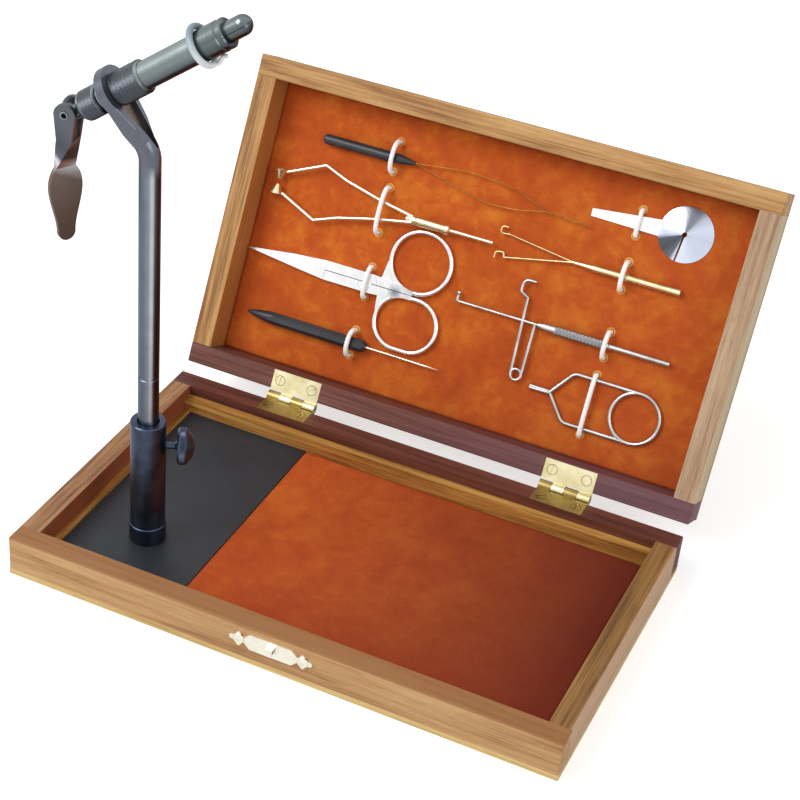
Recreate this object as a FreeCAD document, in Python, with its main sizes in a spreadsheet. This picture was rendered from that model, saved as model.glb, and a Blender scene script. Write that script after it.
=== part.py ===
import FreeCAD, Part
import Sketcher
import math
import os
import re

# Fly tying kit box: a shallow hinged wooden case that stands open on its flat base.
# The base carries a pedestal vise on a steel plate; the lid carries eight hand tools
# under elastic loops.  Millimetres, X along the hinge line (right positive), Y to the
# back, Z up.  The origin is the centre of the underside of the base.

Vector = FreeCAD.Vector
Placement = FreeCAD.Placement
Rotation = FreeCAD.Rotation
X_AXIS = Vector(1, 0, 0)
Y_AXIS = Vector(0, 1, 0)
Z_AXIS = Vector(0, 0, 1)

doc = FreeCAD.newDocument("FlyTyingKitBox")

# ---------------------------------------------------------------- driving dimensions

SIZES = {
    # case
    "box_width": 260, "box_depth": 154, "board_thickness": 10, "edge_round": 0.6,
    "base_height": 20, "bottom_thickness": 3, "lid_height": 19, "top_thickness": 2.4,
    "lining_thickness": 0.8, "rail_width": 4.4, "rail_height": 12.2,
    "strip_width": 2.8, "strip_height": 6.6, "seat_gap": 0.25,
    # hinges
    "open_angle": 116.2, "hinge_offset": 3.4, "hinge_spacing": 142, "leaf_width": 25.4,
    "leaf_depth": 9.6, "leaf_thickness": 1.2, "knuckle_radius": 2.5, "knuckle_gap": 0.2,
    "hinge_pin_radius": 1.0, "running_clearance": 0.05, "leaf_screw_spacing": 17,
    "leaf_screw_setback": 4.8, "screw_head_radius": 2.4, "screw_shank_radius": 1.1,
    "screw_length": 8,
    # catch
    "catch_length": 39, "catch_body_length": 25, "catch_body_height": 8.2,
    "catch_neck_height": 2.8, "catch_cross_height": 7.4, "catch_cross_width": 3.2,
    "catch_thickness": 0.8, "catch_level": 12.7, "catch_screw_spacing": 30.2,
    "tack_radius": 0.55, "tack_length": 6,
    "eye_width": 3.2, "eye_reach": 2.6, "eye_height": 3.6, "tack_head_radius": 1.3,
    # vise foot and post
    "plate_width": 63.5, "plate_thickness": 5, "vise_from_left": 44, "vise_from_front": 45,
    "boss_radius": 8.3, "boss_height": 8.9, "socket_radius": 7.85, "socket_length": 54.6,
    "stem_radius": 4.6, "stem_insertion": 33, "stem_height": 200.5, "groove_level": 94.6,
    "groove_width": 1.2, "groove_depth": 0.35,
    "thumb_level": 58.6, "thumb_angle": 26, "thumb_shank_radius": 1.45,
    "thumb_reach": 12.8, "thumb_head_radius": 8.1, "thumb_head_thickness": 4.6,
    "thumb_dome": 3.0, "thumb_tip_gap": 0.1,
    # vise head
    "head_azimuth": 8, "head_tilt": 36, "neck_length": 27.2, "bend_radius": 13,
    "eye_offset": 1.4,
    "eye_plate": 4, "eye_radius": 10.2, "barrel_core_radius": 6.6, "barrel_radius": 5.7,
    "barrel_length": 44.2, "tenon_length": 4.8, "shoulder_radius": 5.2, "shoulder_length": 4,
    "collar_radius": 6.85, "collar_length": 14, "clip_setback": 0.4, "clip_radius": 8,
    "clip_wire_radius": 1.15, "ferrule_gap": 0.4, "ferrule_length": 11,
    "ferrule_radius": 6.3, "rod_radius": 3, "head_clearance": 0.1,
    "jaw_flange_radius": 5.9, "jaw_flange_length": 1, "jaw_body_radius": 6.2,
    "jaw_body_length": 1.8, "jaw_radius": 4.15, "jaw_reach": 13.4, "jaw_slot": 0.3,
    "nut_radius": 6.3, "nut_length": 10.2, "nut_gap": 0.3,
    "lever_pin_back": 21.5, "lever_pin_rise": 1.5, "lever_pin_radius": 1.8,
    "lever_pin_bore": 1.15,
    "rod_end_radius": 3, "cheek_thickness": 2, "cheek_inner": 3.25, "cheek_radius": 4.6,
    "cheek_drop": 12, "neck_drop": 25, "leaf_drop": 58.5, "leaf_blade_width": 14.5,
    "leaf_shift": 2.5,
    "leaf_blade_thickness": 2, "leaf_turn": 52, "leaf_tip_radius": 3.8,
    # tools in the lid: place along and row are shares of the room inside the lid's boards
    "cord_radius": 1.1, "cord_hole_clearance": 0.2, "loop_reach": 7,
    "threader_row": 0.8388, "threader_place": -0.3875, "threader_length": 48,
    "threader_radius": 2.5, "threader_cone": 9, "threader_wire_radius": 0.3,
    "threader_wire_length": 90.5, "threader_loop_spread": 4.2, "threader_bow": 40,
    "bobbin_row": 0.6463, "bobbin_place": -0.4508, "bobbin_arm_radius": 0.85,
    "bobbin_arm_length": 71, "bobbin_bend": 20, "bobbin_bow": 14, "bobbin_spread": 13.6,
    "bobbin_foot_spread": 5.3, "bobbin_body_radius": 2.3,
    "bobbin_body_length": 17.8, "bobbin_tube_radius": 0.95, "bobbin_tube_length": 22,
    "bobbin_cup_radius": 3.6, "bobbin_cup_height": 4.6, "bobbin_stub_length": 5,
    "scissors_row": 0.3836, "scissors_place": -0.2217, "scissors_tip_gap": 1.8,
    "scissors_blade_width": 9.4, "scissors_leaf": 1.3, "scissors_screw_radius": 1.9,
    "scissors_screw_rise": 0.6,
    "ring_reach": 23.4, "ring_gap": 0.3, "ring_wire_radius": 1.15, "shank_width": 4.2,
    "upper_ring_half_length": 15.3, "upper_ring_clearance": 0.8,
    "lower_ring_half_length": 16, "lower_ring_clearance": 1.55,
    "bodkin_row": 0.1575, "bodkin_place": -0.4596, "bodkin_handle_length": 64.6,
    "bodkin_handle_width": 5.8, "bodkin_bullet": 18, "needle_radius": 0.55,
    "needle_length": 39,
    "guard_row": 0.8522, "guard_place": 0.3692, "guard_radius": 12.9, "guard_depth": 3.4,
    "guard_sheet": 0.6, "guard_hole_radius": 1.2, "guard_slit": 0.9,
    "guard_handle_reach": 45, "guard_handle_width": 7.8, "guard_handle_tip": 3.6,
    "twister_row": 0.6582, "twister_place": 0.1729, "twister_handle_length": 52.8,
    "twister_radius": 1.7, "twister_taper": 10, "twister_wire_radius": 0.45,
    "twister_wire_length": 35, "twister_spread": 5.2, "twister_hook": 2.2,
    "whip_row": 0.4149, "whip_place": -0.0317, "whip_length": 106.2, "whip_rod_radius": 0.75,
    "whip_tail_radius": 1.25, "grip_start": 41.5, "grip_length": 34.9, "grip_radius": 2.05,
    "whip_frame_drop": 22.8, "whip_frame_rise": 11, "whip_frame_width": 5.2,
    "whip_frame_start": 34.5, "whip_hook_radius": 4,
    "pliers_row": 0.2, "pliers_place": 0.3746, "pliers_ring_radius": 11.9,
    "pliers_wire_radius": 0.95, "pliers_bow": 4.5, "pliers_cross": 42.4,
    "pliers_tip": 52.2,
}

sheet = doc.addObject("Spreadsheet::Sheet", "Sizes")
for line, (alias, number) in enumerate(SIZES.items(), start=1):
    sheet.set("A%d" % line, alias)
    sheet.set("B%d" % line, str(number))
    sheet.setAlias("B%d" % line, alias)
doc.recompute()


def size(alias):
    """The sheet's value of one driving dimension."""
    return float(sheet.get(alias))


def bound(text):
    """Turn plain size names into references to the sheet's cells."""
    def reference(word):
        name = word.group()
        return "Sizes." + name if name in SIZES else name
    return re.sub(r"[a-z][a-z_]*", reference, text)


# ---------------------------------------------------------------- modelling helpers

parts = []


def place(obj, frame):
    obj.Placement = frame
    parts.append(obj)
    return obj


def new_body(label, frame=Placement()):
    body = doc.addObject("PartDesign::Body", label)
    body.Label = label
    return place(body, frame)


def feature(label, shape, frame=Placement(), merge=True):
    """A sub-part whose form is worked out with Part's own functions."""
    obj = doc.addObject("Part::Feature", label)
    obj.Label = label
    obj.Shape = shape.removeSplitter() if merge else shape
    return place(obj, frame)


def origin_plane(body, role):
    for item in body.Origin.OriginFeatures:
        if item.Role == role:
            return item
    raise ValueError(role)


def outline(body, name, role, points, offset="0"):
    """Closed straight-sided sketch whose corners are bound to the sheet."""
    sketch = body.newObject("Sketcher::SketchObject", body.Label + "_" + name)
    sketch.AttachmentSupport = [(origin_plane(body, role), "")]
    sketch.MapMode = "FlatFace"
    sketch.setExpression("AttachmentOffset.Base.z", bound(offset))
    count = len(points)
    ring = [Vector(math.cos(2 * math.pi * i / count), math.sin(2 * math.pi * i / count), 0)
            for i in range(count)]
    for i in range(count):
        sketch.addGeometry(Part.LineSegment(ring[i], ring[(i + 1) % count]), False)
    for i in range(count):
        sketch.addConstraint(Sketcher.Constraint("Coincident", i, 2, (i + 1) % count, 1))
    for i, (across, up) in enumerate(points):
        for kind, axis, text in (("DistanceX", -2, across), ("DistanceY", -1, up)):
            if text == "0":
                sketch.addConstraint(Sketcher.Constraint("PointOnObject", i, 1, axis))
                continue
            index = sketch.addConstraint(Sketcher.Constraint(kind, -1, 1, i, 1, 1.0))
            sketch.setExpression("Constraints[%d]" % index, bound(text))
    return sketch


def rectangle(left, bottom, right, top):
    return [(left, bottom), (right, bottom), (right, top), (left, top)]


def pad(body, sketch, length, name="Pad"):
    solid = body.newObject("PartDesign::Pad", body.Label + "_" + name)
    solid.Profile = sketch
    solid.setExpression("Length", bound(length))
    sketch.Visibility = False
    return solid


def pocket(body, sketch, depth, name="Pocket", reversed_cut=False):
    before = solid_volume(body)
    cut = body.newObject("PartDesign::Pocket", body.Label + "_" + name)
    cut.Profile = sketch
    cut.Reversed = reversed_cut
    cut.setExpression("Length", bound(depth))
    doc.recompute()
    if not solid_volume(body) < before - 1e-6:
        raise RuntimeError("pocket cuts nothing: " + cut.Name)
    return cut


def drill(body, name, role, spots, radius, depth, offset="0", reversed_cut=False):
    """Round holes of one radius, each centred on a spot given as size text."""
    sketch = body.newObject("Sketcher::SketchObject", body.Label + "_" + name)
    sketch.AttachmentSupport = [(origin_plane(body, role), "")]
    sketch.MapMode = "FlatFace"
    sketch.setExpression("AttachmentOffset.Base.z", bound(offset))
    for i, (across, up) in enumerate(spots):
        sketch.addGeometry(Part.Circle(Vector(3 * i, 0, 0), Z_AXIS, 1), False)
        for kind, text in (("DistanceX", across), ("DistanceY", up)):
            index = sketch.addConstraint(Sketcher.Constraint(kind, -1, 1, i, 3, 1.0))
            sketch.setExpression("Constraints[%d]" % index, bound(text))
        index = sketch.addConstraint(Sketcher.Constraint("Radius", i, 1.0))
        sketch.setExpression("Constraints[%d]" % index, bound(radius))
    return pocket(body, sketch, depth, name + "_Cut", reversed_cut)


def solid_volume(body):
    doc.recompute()
    return body.Shape.Volume


def round_edges(body, base, radius, chosen):
    doc.recompute()
    names = ["Edge%d" % (i + 1) for i, edge in enumerate(base.Shape.Edges) if chosen(edge)]
    blend = body.newObject("PartDesign::Fillet", body.Label + "_Round")
    blend.Base = (base, names)
    blend.setExpression("Radius", bound(radius))
    return blend


def turned(label, profile, frame=Placement()):
    """Solid of revolution about X; profile lists (place along X, radius) as size text."""
    body = new_body(label, frame)
    sketch = outline(body, "Profile", "XY_Plane", profile)
    spin = body.newObject("PartDesign::Revolution", label + "_Turn")
    spin.Profile = sketch
    spin.ReferenceAxis = (sketch, ["H_Axis"])
    spin.Angle = 360
    return body


def sleeve(start, end, outer, inner):
    return rectangle(start, inner, end, outer)


def cylinder(radius, length, start, direction):
    return Part.makeCylinder(radius, length, start, direction)


def rounded_path(points, bend):
    """Straight runs joined by tangent arcs of one bend radius (a list gives one each)."""
    edges = []
    start = points[0]
    for i in range(1, len(points) - 1):
        corner = points[i]
        radius = bend[i - 1] if isinstance(bend, (list, tuple)) else bend
        back = (points[i - 1] - corner).normalize()
        ahead = (points[i + 1] - corner).normalize()
        half = math.acos(max(-1.0, min(1.0, back.dot(ahead)))) / 2
        if half > math.radians(89.9):
            continue
        run = radius / math.tan(half)
        first = corner + back * run
        last = corner + ahead * run
        middle_way = (back + ahead).normalize()
        centre = corner + middle_way * (radius / math.sin(half))
        middle = centre - middle_way * radius
        if (first - start).Length > 1e-6:
            edges.append(Part.LineSegment(start, first).toShape())
        edges.append(Part.Arc(first, middle, last).toShape())
        start = last
    edges.append(Part.LineSegment(start, points[-1]).toShape())
    return Part.Wire(edges)


def tube(path, radius):
    """Round bar along a path, squared at both ends."""
    edge = path.OrderedEdges[0] if path.ShapeType == "Wire" else path
    start = edge.valueAt(edge.FirstParameter)
    tangent = edge.tangentAt(edge.FirstParameter)
    section = Part.Wire([Part.Circle(start, tangent, radius).toShape()])
    spine = path if path.ShapeType == "Wire" else Part.Wire([path])
    return spine.makePipeShell([section], True, True, 2)


def flat_solid(points, thickness, direction):
    face = Part.Face(Part.makePolygon(points + [points[0]]))
    return face.extrude(direction * thickness)


# ---------------------------------------------------------------- frames of reference

half_width = size("box_width") / 2
half_depth = size("box_depth") / 2
rim = size("base_height")
floor_top = size("bottom_thickness") + size("plate_thickness")
hinge_line = Vector(0, half_depth + size("hinge_offset"), rim)

# Lid frame: X along the hinge, Y from the hinge line to the front edge, Z out of the lining.
LID = Placement(hinge_line, Rotation(X_AXIS, 180 - size("open_angle")))
lining_depth = size("lid_height") - size("top_thickness") - size("lining_thickness")

vise_x = -half_width + size("vise_from_left")
vise_y = -half_depth + size("vise_from_front")
head_turn = Rotation(Z_AXIS, size("head_azimuth"))
head_rotation = head_turn * Rotation(Y_AXIS, -size("head_tilt"))
bend_point = Vector(vise_x, vise_y, size("stem_height"))
head_centre = bend_point + head_rotation.multVec(Z_AXIS) * size("neck_length")
bend_run = size("bend_radius") * math.tan(math.radians(size("head_tilt") / 2))

# Head frame: X along the barrel to the nose, Z up the flattened neck of the stem.
HEAD = Placement(head_centre, head_rotation)
lever_pin = Vector(-size("lever_pin_back"), 0, size("lever_pin_rise"))
LEVER = Placement(HEAD.multVec(lever_pin), head_turn)
THUMB = Placement(Vector(vise_x, vise_y, size("thumb_level")),
                  Rotation(Z_AXIS, size("thumb_angle")))


def along_text(share):
    """Place along the lid, as size text, for a share of the room between its side boards."""
    return "%s * (box_width - 2 * board_thickness)" % share


def along(share):
    return share * (size("box_width") - 2 * size("board_thickness"))


def row_text(tool):
    """Distance of a tool's row from the lid's back face, as size text."""
    return "(board_thickness + %s_row * (box_depth - 2 * board_thickness))" % tool


def row(tool):
    return (size("board_thickness")
            + size(tool + "_row") * (size("box_depth") - 2 * size("board_thickness")))


def in_lid(start, tool, height):
    """Frame of a tool: X along the tool, Y to the lid's front edge, Z out of the lining."""
    spot = Vector(start, size("hinge_offset") + row(tool), -lining_depth + height)
    return LID.multiply(Placement(spot, Rotation()))


# ---------------------------------------------------------------- case boards

def outer_edge(top, centre_y):
    """True for an edge of a board that lies where two outer faces of the case meet."""
    def chosen(edge):
        middle = edge.CenterOfMass
        on_side = abs(abs(middle.x) - half_width) < 1e-4
        on_front = abs(abs(middle.y - centre_y) - half_depth) < 1e-4
        on_top = abs(middle.z - top) < 1e-4
        return on_side + on_front + on_top >= 2
    return chosen


def board(label, corners, thickness_from, height, top, centre_y=0.0, frame=Placement()):
    body = new_body(label, frame)
    sketch = outline(body, "Plan", "XY_Plane", corners, thickness_from)
    block = pad(body, sketch, height)
    round_edges(body, block, "edge_round", outer_edge(top, centre_y))
    return body


def leaf_screws(depth):
    """Centres of the four screws of a pair of leaves, as size text."""
    return [(side + "hinge_spacing / 2" + across + "leaf_screw_spacing / 2", depth)
            for side in ("-", "") for across in (" - ", " + ")]


def base_boards():
    height = "base_height - bottom_thickness"
    front = rectangle("-box_width / 2", "-box_depth / 2",
                      "box_width / 2", "-box_depth / 2 + board_thickness")
    front_board = board("base_front_board", front, "bottom_thickness", height, rim)
    back = rectangle("-box_width / 2", "box_depth / 2 - board_thickness",
                     "box_width / 2", "box_depth / 2")
    back_board = board("base_back_board", back, "bottom_thickness", height, rim)
    for side in ("-", ""):
        name = "base_left_mortise" if side else "base_right_mortise"
        cut = outline(back_board, name, "XY_Plane", rectangle(
            side + "hinge_spacing / 2 - leaf_width / 2", "box_depth / 2 - leaf_depth",
            side + "hinge_spacing / 2 + leaf_width / 2", "box_depth / 2 + 1"), "base_height")
        pocket(back_board, cut, "leaf_thickness", name + "_Cut")
    drill(back_board, "screw_holes", "XY_Plane", leaf_screws("box_depth / 2 - leaf_screw_setback"),
          "screw_shank_radius", "screw_length", "base_height")
    tacks = [("-catch_screw_spacing / 2", "catch_level"), ("catch_screw_spacing / 2", "catch_level")]
    drill(front_board, "tack_holes", "XZ_Plane", tacks, "tack_radius", "tack_length",
          "box_depth / 2")
    for side, label in (("-", "base_left_board"), ("", "base_right_board")):
        inner = side + "(box_width / 2 - board_thickness)"
        outer = side + "box_width / 2"
        ends = ("-box_depth / 2 + board_thickness", "box_depth / 2 - board_thickness")
        plan = rectangle(inner, ends[0], outer, ends[1])
        board(label, plan, "bottom_thickness", height, rim)


def lid_boards():
    # Lid plan runs from the back face (hinge side) at Y = hinge_offset.
    height = "lid_height - top_thickness"
    outside = "-(lid_height - top_thickness)"
    centre = size("hinge_offset") + half_depth
    back = rectangle("-box_width / 2", "hinge_offset",
                     "box_width / 2", "hinge_offset + board_thickness")
    back_board = board("lid_back_board", back, outside, height, 0.0, centre, LID)
    for side in ("-", ""):
        name = "lid_left_mortise" if side else "lid_right_mortise"
        cut = outline(back_board, name, "XY_Plane", rectangle(
            side + "hinge_spacing / 2 - leaf_width / 2", "hinge_offset - 1",
            side + "hinge_spacing / 2 + leaf_width / 2", "hinge_offset + leaf_depth"))
        pocket(back_board, cut, "leaf_thickness", name + "_Cut")
    drill(back_board, "screw_holes", "XY_Plane", leaf_screws("hinge_offset + leaf_screw_setback"),
          "screw_shank_radius", "screw_length")
    front = rectangle("-box_width / 2", "hinge_offset + box_depth - board_thickness",
                      "box_width / 2", "hinge_offset + box_depth")
    board("lid_front_board", front, outside, height, 0.0, centre, LID)
    for side, label in (("-", "lid_left_board"), ("", "lid_right_board")):
        inner = side + "(box_width / 2 - board_thickness)"
        outer = side + "box_width / 2"
        plan = rectangle(inner, "hinge_offset + board_thickness",
                         outer, "hinge_offset + box_depth - board_thickness")
        board(label, plan, outside, height, 0.0, centre, LID)


def panels():
    bottom = new_body("base_bottom_panel")
    plan = rectangle("-box_width / 2", "-box_depth / 2", "box_width / 2", "box_depth / 2")
    pad(bottom, outline(bottom, "Plan", "XY_Plane", plan), "bottom_thickness")
    top = new_body("lid_top_panel", LID)
    plan = rectangle("-box_width / 2", "hinge_offset",
                     "box_width / 2", "hinge_offset + box_depth")
    pad(top, outline(top, "Plan", "XY_Plane", plan, "-lid_height"), "top_thickness")


def base_interior():
    inner_x = "(box_width / 2 - board_thickness)"
    inner_y = "(box_depth / 2 - board_thickness)"
    for side, label in (("-", "base_front_rail"), ("", "base_back_rail")):
        rail = new_body(label)
        plan = rectangle("-" + inner_x, side + inner_y,
                         inner_x, side + "(box_depth / 2 - board_thickness - rail_width)")
        pad(rail, outline(rail, "Plan", "XY_Plane", plan, "bottom_thickness"), "rail_height")
    rail_y = "(box_depth / 2 - board_thickness - rail_width)"
    for side, label in (("-", "base_left_strip"), ("", "base_right_strip")):
        strip = new_body(label)
        plan = rectangle(side + inner_x, "-" + rail_y,
                         side + "(box_width / 2 - board_thickness - strip_width)", rail_y)
        pad(strip, outline(strip, "Plan", "XY_Plane", plan, "bottom_thickness"), "strip_height")
    plate_left = "-(box_width / 2 - board_thickness - strip_width)"
    plate_right = plate_left + " + plate_width"
    plate = new_body("vise_plate")
    plan = rectangle(plate_left, "-" + rail_y, plate_right, rail_y)
    pad(plate, outline(plate, "Plan", "XY_Plane", plan, "bottom_thickness"), "plate_thickness")
    lining_right = "box_width / 2 - board_thickness - strip_width"
    plan = rectangle(plate_right, "-" + rail_y, lining_right, rail_y)
    packing = new_body("base_lining_board")
    pad(packing, outline(packing, "Plan", "XY_Plane", plan, "bottom_thickness"),
        "plate_thickness - lining_thickness")
    lining = new_body("base_lining")
    level = "bottom_thickness + plate_thickness - lining_thickness"
    pad(lining, outline(lining, "Plan", "XY_Plane", plan, level), "lining_thickness")


# ---------------------------------------------------------------- hinges

def leaf_shape(bore, own_segments=(0, 2), segments=4):
    """Leaf in its own frame: pin along X, plate to -Y, plate face up at Z = 0."""
    width = size("leaf_width") - 2 * size("seat_gap") * 0.2
    reach = size("hinge_offset") + size("leaf_depth") - 0.05
    thickness = size("leaf_thickness")
    radius = size("knuckle_radius")
    pitch = width / segments
    plate = Part.makeBox(width, reach - size("hinge_offset") + 0.2, thickness,
                         Vector(-width / 2, -reach, -thickness))
    solids = []
    for segment in own_segments:
        left = -width / 2 + segment * pitch + size("knuckle_gap") / 2
        length = pitch - size("knuckle_gap")
        solids.append(cylinder(radius, length, Vector(left, 0, 0), X_AXIS))
        solids.append(Part.makeBox(length, size("hinge_offset"), thickness,
                                   Vector(left, -size("hinge_offset") - 0.3, -thickness)))
    shape = plate.multiFuse(solids)
    shape = shape.cut(cylinder(bore, width, Vector(-width / 2, 0, 0), X_AXIS))
    depth = size("hinge_offset") + size("leaf_screw_setback")
    for side in (-1, 1):
        spot = Vector(side * size("leaf_screw_spacing") / 2, -depth, 0)
        shape = shape.cut(countersink(spot))
    return shape


def countersink(spot):
    """Screw seat going down from Z = 0 at a spot."""
    head = size("screw_head_radius")
    shank = size("screw_shank_radius")
    return Part.makeCone(head, shank, size("leaf_thickness"), spot, Z_AXIS * -1)


def screw_shape(spot):
    """Countersunk wood screw, head flush with Z = 0, with its slot."""
    head = size("screw_head_radius") - size("running_clearance")
    shank = size("screw_shank_radius") - size("running_clearance")
    cone = Part.makeCone(head, shank, size("leaf_thickness"), spot, Z_AXIS * -1)
    body = cylinder(shank, size("screw_length"), spot, Z_AXIS * -1)
    slot = Part.makeBox(2 * head, 0.5, 0.4, spot + Vector(-head, -0.25, -0.4))
    slot.rotate(spot, Z_AXIS, 35 + 50 * (spot.x > 0))
    return cone.fuse(body).cut(slot)


def hinges():
    base_screws = []
    lid_screws = []
    pins = []
    tight = size("hinge_pin_radius")
    loose = tight + size("running_clearance")
    pin_length = size("leaf_width") - 2 * size("knuckle_gap")
    depth = size("hinge_offset") + size("leaf_screw_setback")
    for side, name in ((-1, "left"), (1, "right")):
        centre = Vector(side * size("hinge_spacing") / 2, 0, 0)
        base_frame = Placement(hinge_line + centre, Rotation())
        lid_frame = LID.multiply(Placement(centre, Rotation(Z_AXIS, 180)))
        feature("hinge_%s_base_leaf" % name, leaf_shape(tight), base_frame)
        feature("hinge_%s_lid_leaf" % name, leaf_shape(loose), lid_frame)
        pins.append(cylinder(size("hinge_pin_radius"), pin_length,
                             hinge_line + centre - X_AXIS * (pin_length / 2), X_AXIS))
        for across in (-1, 1):
            spot = Vector(across * size("leaf_screw_spacing") / 2, -depth, 0)
            for frame, group in ((base_frame, base_screws), (lid_frame, lid_screws)):
                screw = screw_shape(spot)
                screw.Placement = frame.multiply(screw.Placement)
                group.append(screw)
    feature("hinge_pins", Part.makeCompound(pins))
    feature("base_hinge_screws", Part.makeCompound(base_screws))
    feature("lid_hinge_screws", Part.makeCompound(lid_screws))


# ---------------------------------------------------------------- catch

def catch_plate_shape():
    """Ornamental plate in the XZ plane, back face at Y = 0, front face at -Y."""
    half_body = size("catch_body_length") / 2
    half_height = size("catch_body_height") / 2
    neck = size("catch_neck_height") / 2
    corner = half_height - neck
    body = flat_solid([Vector(-half_body, 0, -neck), Vector(-half_body + corner, 0, -half_height),
                       Vector(half_body - corner, 0, -half_height), Vector(half_body, 0, -neck),
                       Vector(half_body, 0, neck), Vector(half_body - corner, 0, half_height),
                       Vector(-half_body + corner, 0, half_height), Vector(-half_body, 0, neck)],
                      size("catch_thickness"), Y_AXIS * -1)
    solids = []
    reach = size("catch_length") / 2
    screw = size("catch_screw_spacing") / 2
    lobe = size("catch_cross_width") / 2
    rise = size("catch_cross_height") / 2
    for side in (-1, 1):
        solids.append(Part.makeBox(reach - lobe - half_body + 1, size("catch_thickness"), 2 * neck,
                                   Vector(min(side * (half_body - 1), side * (reach - lobe)),
                                          -size("catch_thickness"), -neck)))
        for spot, radius in ((Vector(side * screw, 0, 0), lobe * 1.25),
                             (Vector(side * screw, 0, rise - lobe * 0.7), lobe * 0.7),
                             (Vector(side * screw, 0, -rise + lobe * 0.7), lobe * 0.7),
                             (Vector(side * (reach - lobe * 0.8), 0, 0), lobe * 0.8)):
            solids.append(cylinder(radius, size("catch_thickness"), spot, Y_AXIS * -1))
        solids.append(Part.makeBox(lobe, size("catch_thickness"), 2 * rise - 2 * lobe * 0.7,
                                   Vector(side * screw - lobe / 2, -size("catch_thickness"),
                                          -rise + lobe * 0.7)))
    return body.multiFuse(solids)


def catch():
    front = Placement(Vector(0, -half_depth, size("catch_level")), Rotation())
    wide = size("eye_width")
    tall = size("eye_height")
    gauge = size("catch_thickness")
    plate = catch_plate_shape()
    ears = Part.makeBox(wide, size("eye_reach"), tall,
                        Vector(-wide / 2, -gauge - size("eye_reach") + 0.2, -tall / 2))
    opening = Part.makeBox(wide + 2, size("eye_reach") - gauge, tall - 2 * gauge,
                           Vector(-wide / 2 - 1, -gauge - size("eye_reach") + 0.2 + gauge,
                                  -tall / 2 + gauge))
    plate = plate.fuse(ears).cut(opening)
    tacks = []
    for side in (-1, 1):
        spot = Vector(side * size("catch_screw_spacing") / 2, 0, 0)
        plate = plate.cut(cylinder(size("tack_radius"), gauge, spot, Y_AXIS * -1))
        head = cylinder(size("tack_head_radius"), 0.5, spot - Y_AXIS * gauge, Y_AXIS * -1)
        shank = cylinder(size("tack_radius"), size("tack_length") + gauge,
                         spot - Y_AXIS * gauge, Y_AXIS)
        tacks.append(head.fuse(shank))
    feature("catch_plate", plate, front)
    feature("catch_tacks", Part.makeCompound(tacks), front)


# ---------------------------------------------------------------- vise foot and post

def vise_post():
    foot = Placement(Vector(vise_x, vise_y, 0), Rotation(Y_AXIS, -90))
    boss = [("bottom_thickness + plate_thickness", "0"),
            ("bottom_thickness + plate_thickness + boss_height", "0"),
            ("bottom_thickness + plate_thickness + boss_height", "boss_radius - 0.3"),
            ("bottom_thickness + plate_thickness + boss_height - 0.3", "boss_radius"),
            ("bottom_thickness + plate_thickness", "boss_radius")]
    turned("vise_boss", boss, foot)
    low = "bottom_thickness + plate_thickness + boss_height"
    high = low + " + socket_length"
    bore = "stem_radius + running_clearance"
    tube_walls = [(low, "0"), (low + " + 1.5", "0"), (low + " + 1.5", bore), (high + " - 0.4", bore),
                  (high, bore + " + 0.4"), (high, "socket_radius - 0.5"),
                  (high + " - 0.5", "socket_radius"), (low, "socket_radius")]
    socket = turned("vise_socket_tube", tube_walls, foot)
    # The thumbscrew's tapped hole, square to the tube's axis.
    hole = socket.newObject("PartDesign::SubtractiveCylinder", "vise_socket_tube_Tapped")
    hole.setExpression("Radius", bound("thumb_shank_radius + running_clearance"))
    hole.setExpression("Height", bound("socket_radius + 1"))
    across = foot.inverse().multiply(THUMB)
    hole.Placement = Placement(across.Base, across.Rotation * Rotation(Y_AXIS, 90))
    tip = "stem_radius + thumb_tip_gap"
    knob = "thumb_reach"
    screw = [(tip, "0"), (knob + " + thumb_head_thickness + thumb_dome", "0"),
             (knob + " + thumb_head_thickness + thumb_dome * 0.72", "thumb_head_radius * 0.55"),
             (knob + " + thumb_head_thickness", "thumb_head_radius - 0.8"),
             (knob + " + thumb_head_thickness - 0.8", "thumb_head_radius"),
             (knob + " + 0.8", "thumb_head_radius"), (knob, "thumb_head_radius - 0.8"),
             (knob, "thumb_shank_radius + 1"), (knob + " - 1", "thumb_shank_radius"),
             (tip, "thumb_shank_radius")]
    turned("vise_thumbscrew", screw, THUMB)


def vise_stem():
    """Round post, heated and flattened at the top into a teardrop eye round the barrel."""
    radius = size("stem_radius")
    high = size("stem_height")
    low = floor_top + size("boss_height") + size("socket_length") - size("stem_insertion")
    chamfer = 0.6
    profile = [Vector(0, 0, low), Vector(radius - chamfer, 0, low), Vector(radius, 0, low + chamfer)]
    groove = size("groove_level")
    deep = radius - size("groove_depth")
    step = size("groove_width") / 2
    profile += [Vector(radius, 0, groove - step), Vector(deep, 0, groove - step / 2),
                Vector(deep, 0, groove + step / 2), Vector(radius, 0, groove + step),
                Vector(radius, 0, high - bend_run), Vector(0, 0, high - bend_run)]
    face = Part.Face(Part.makePolygon(profile + [profile[0]]))
    post = face.revolve(Vector(), Z_AXIS, 360)
    post.translate(Vector(vise_x, vise_y, 0))
    # The bend: the round of the post swept about an axis square to the head's azimuth.
    hub = head_turn.multVec(X_AXIS * -size("bend_radius"))
    base = bend_point - Z_AXIS * bend_run
    ring = Part.Face(Part.Wire([Part.Circle(base, Z_AXIS, radius).toShape()]))
    bend = ring.revolve(base + hub, head_turn.multVec(Y_AXIS * -1), size("head_tilt"))
    forged = post.fuse(bend).fuse(eye_shape()).cut(slot_shape())
    feature("vise_stem", forged, merge=False)


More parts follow.
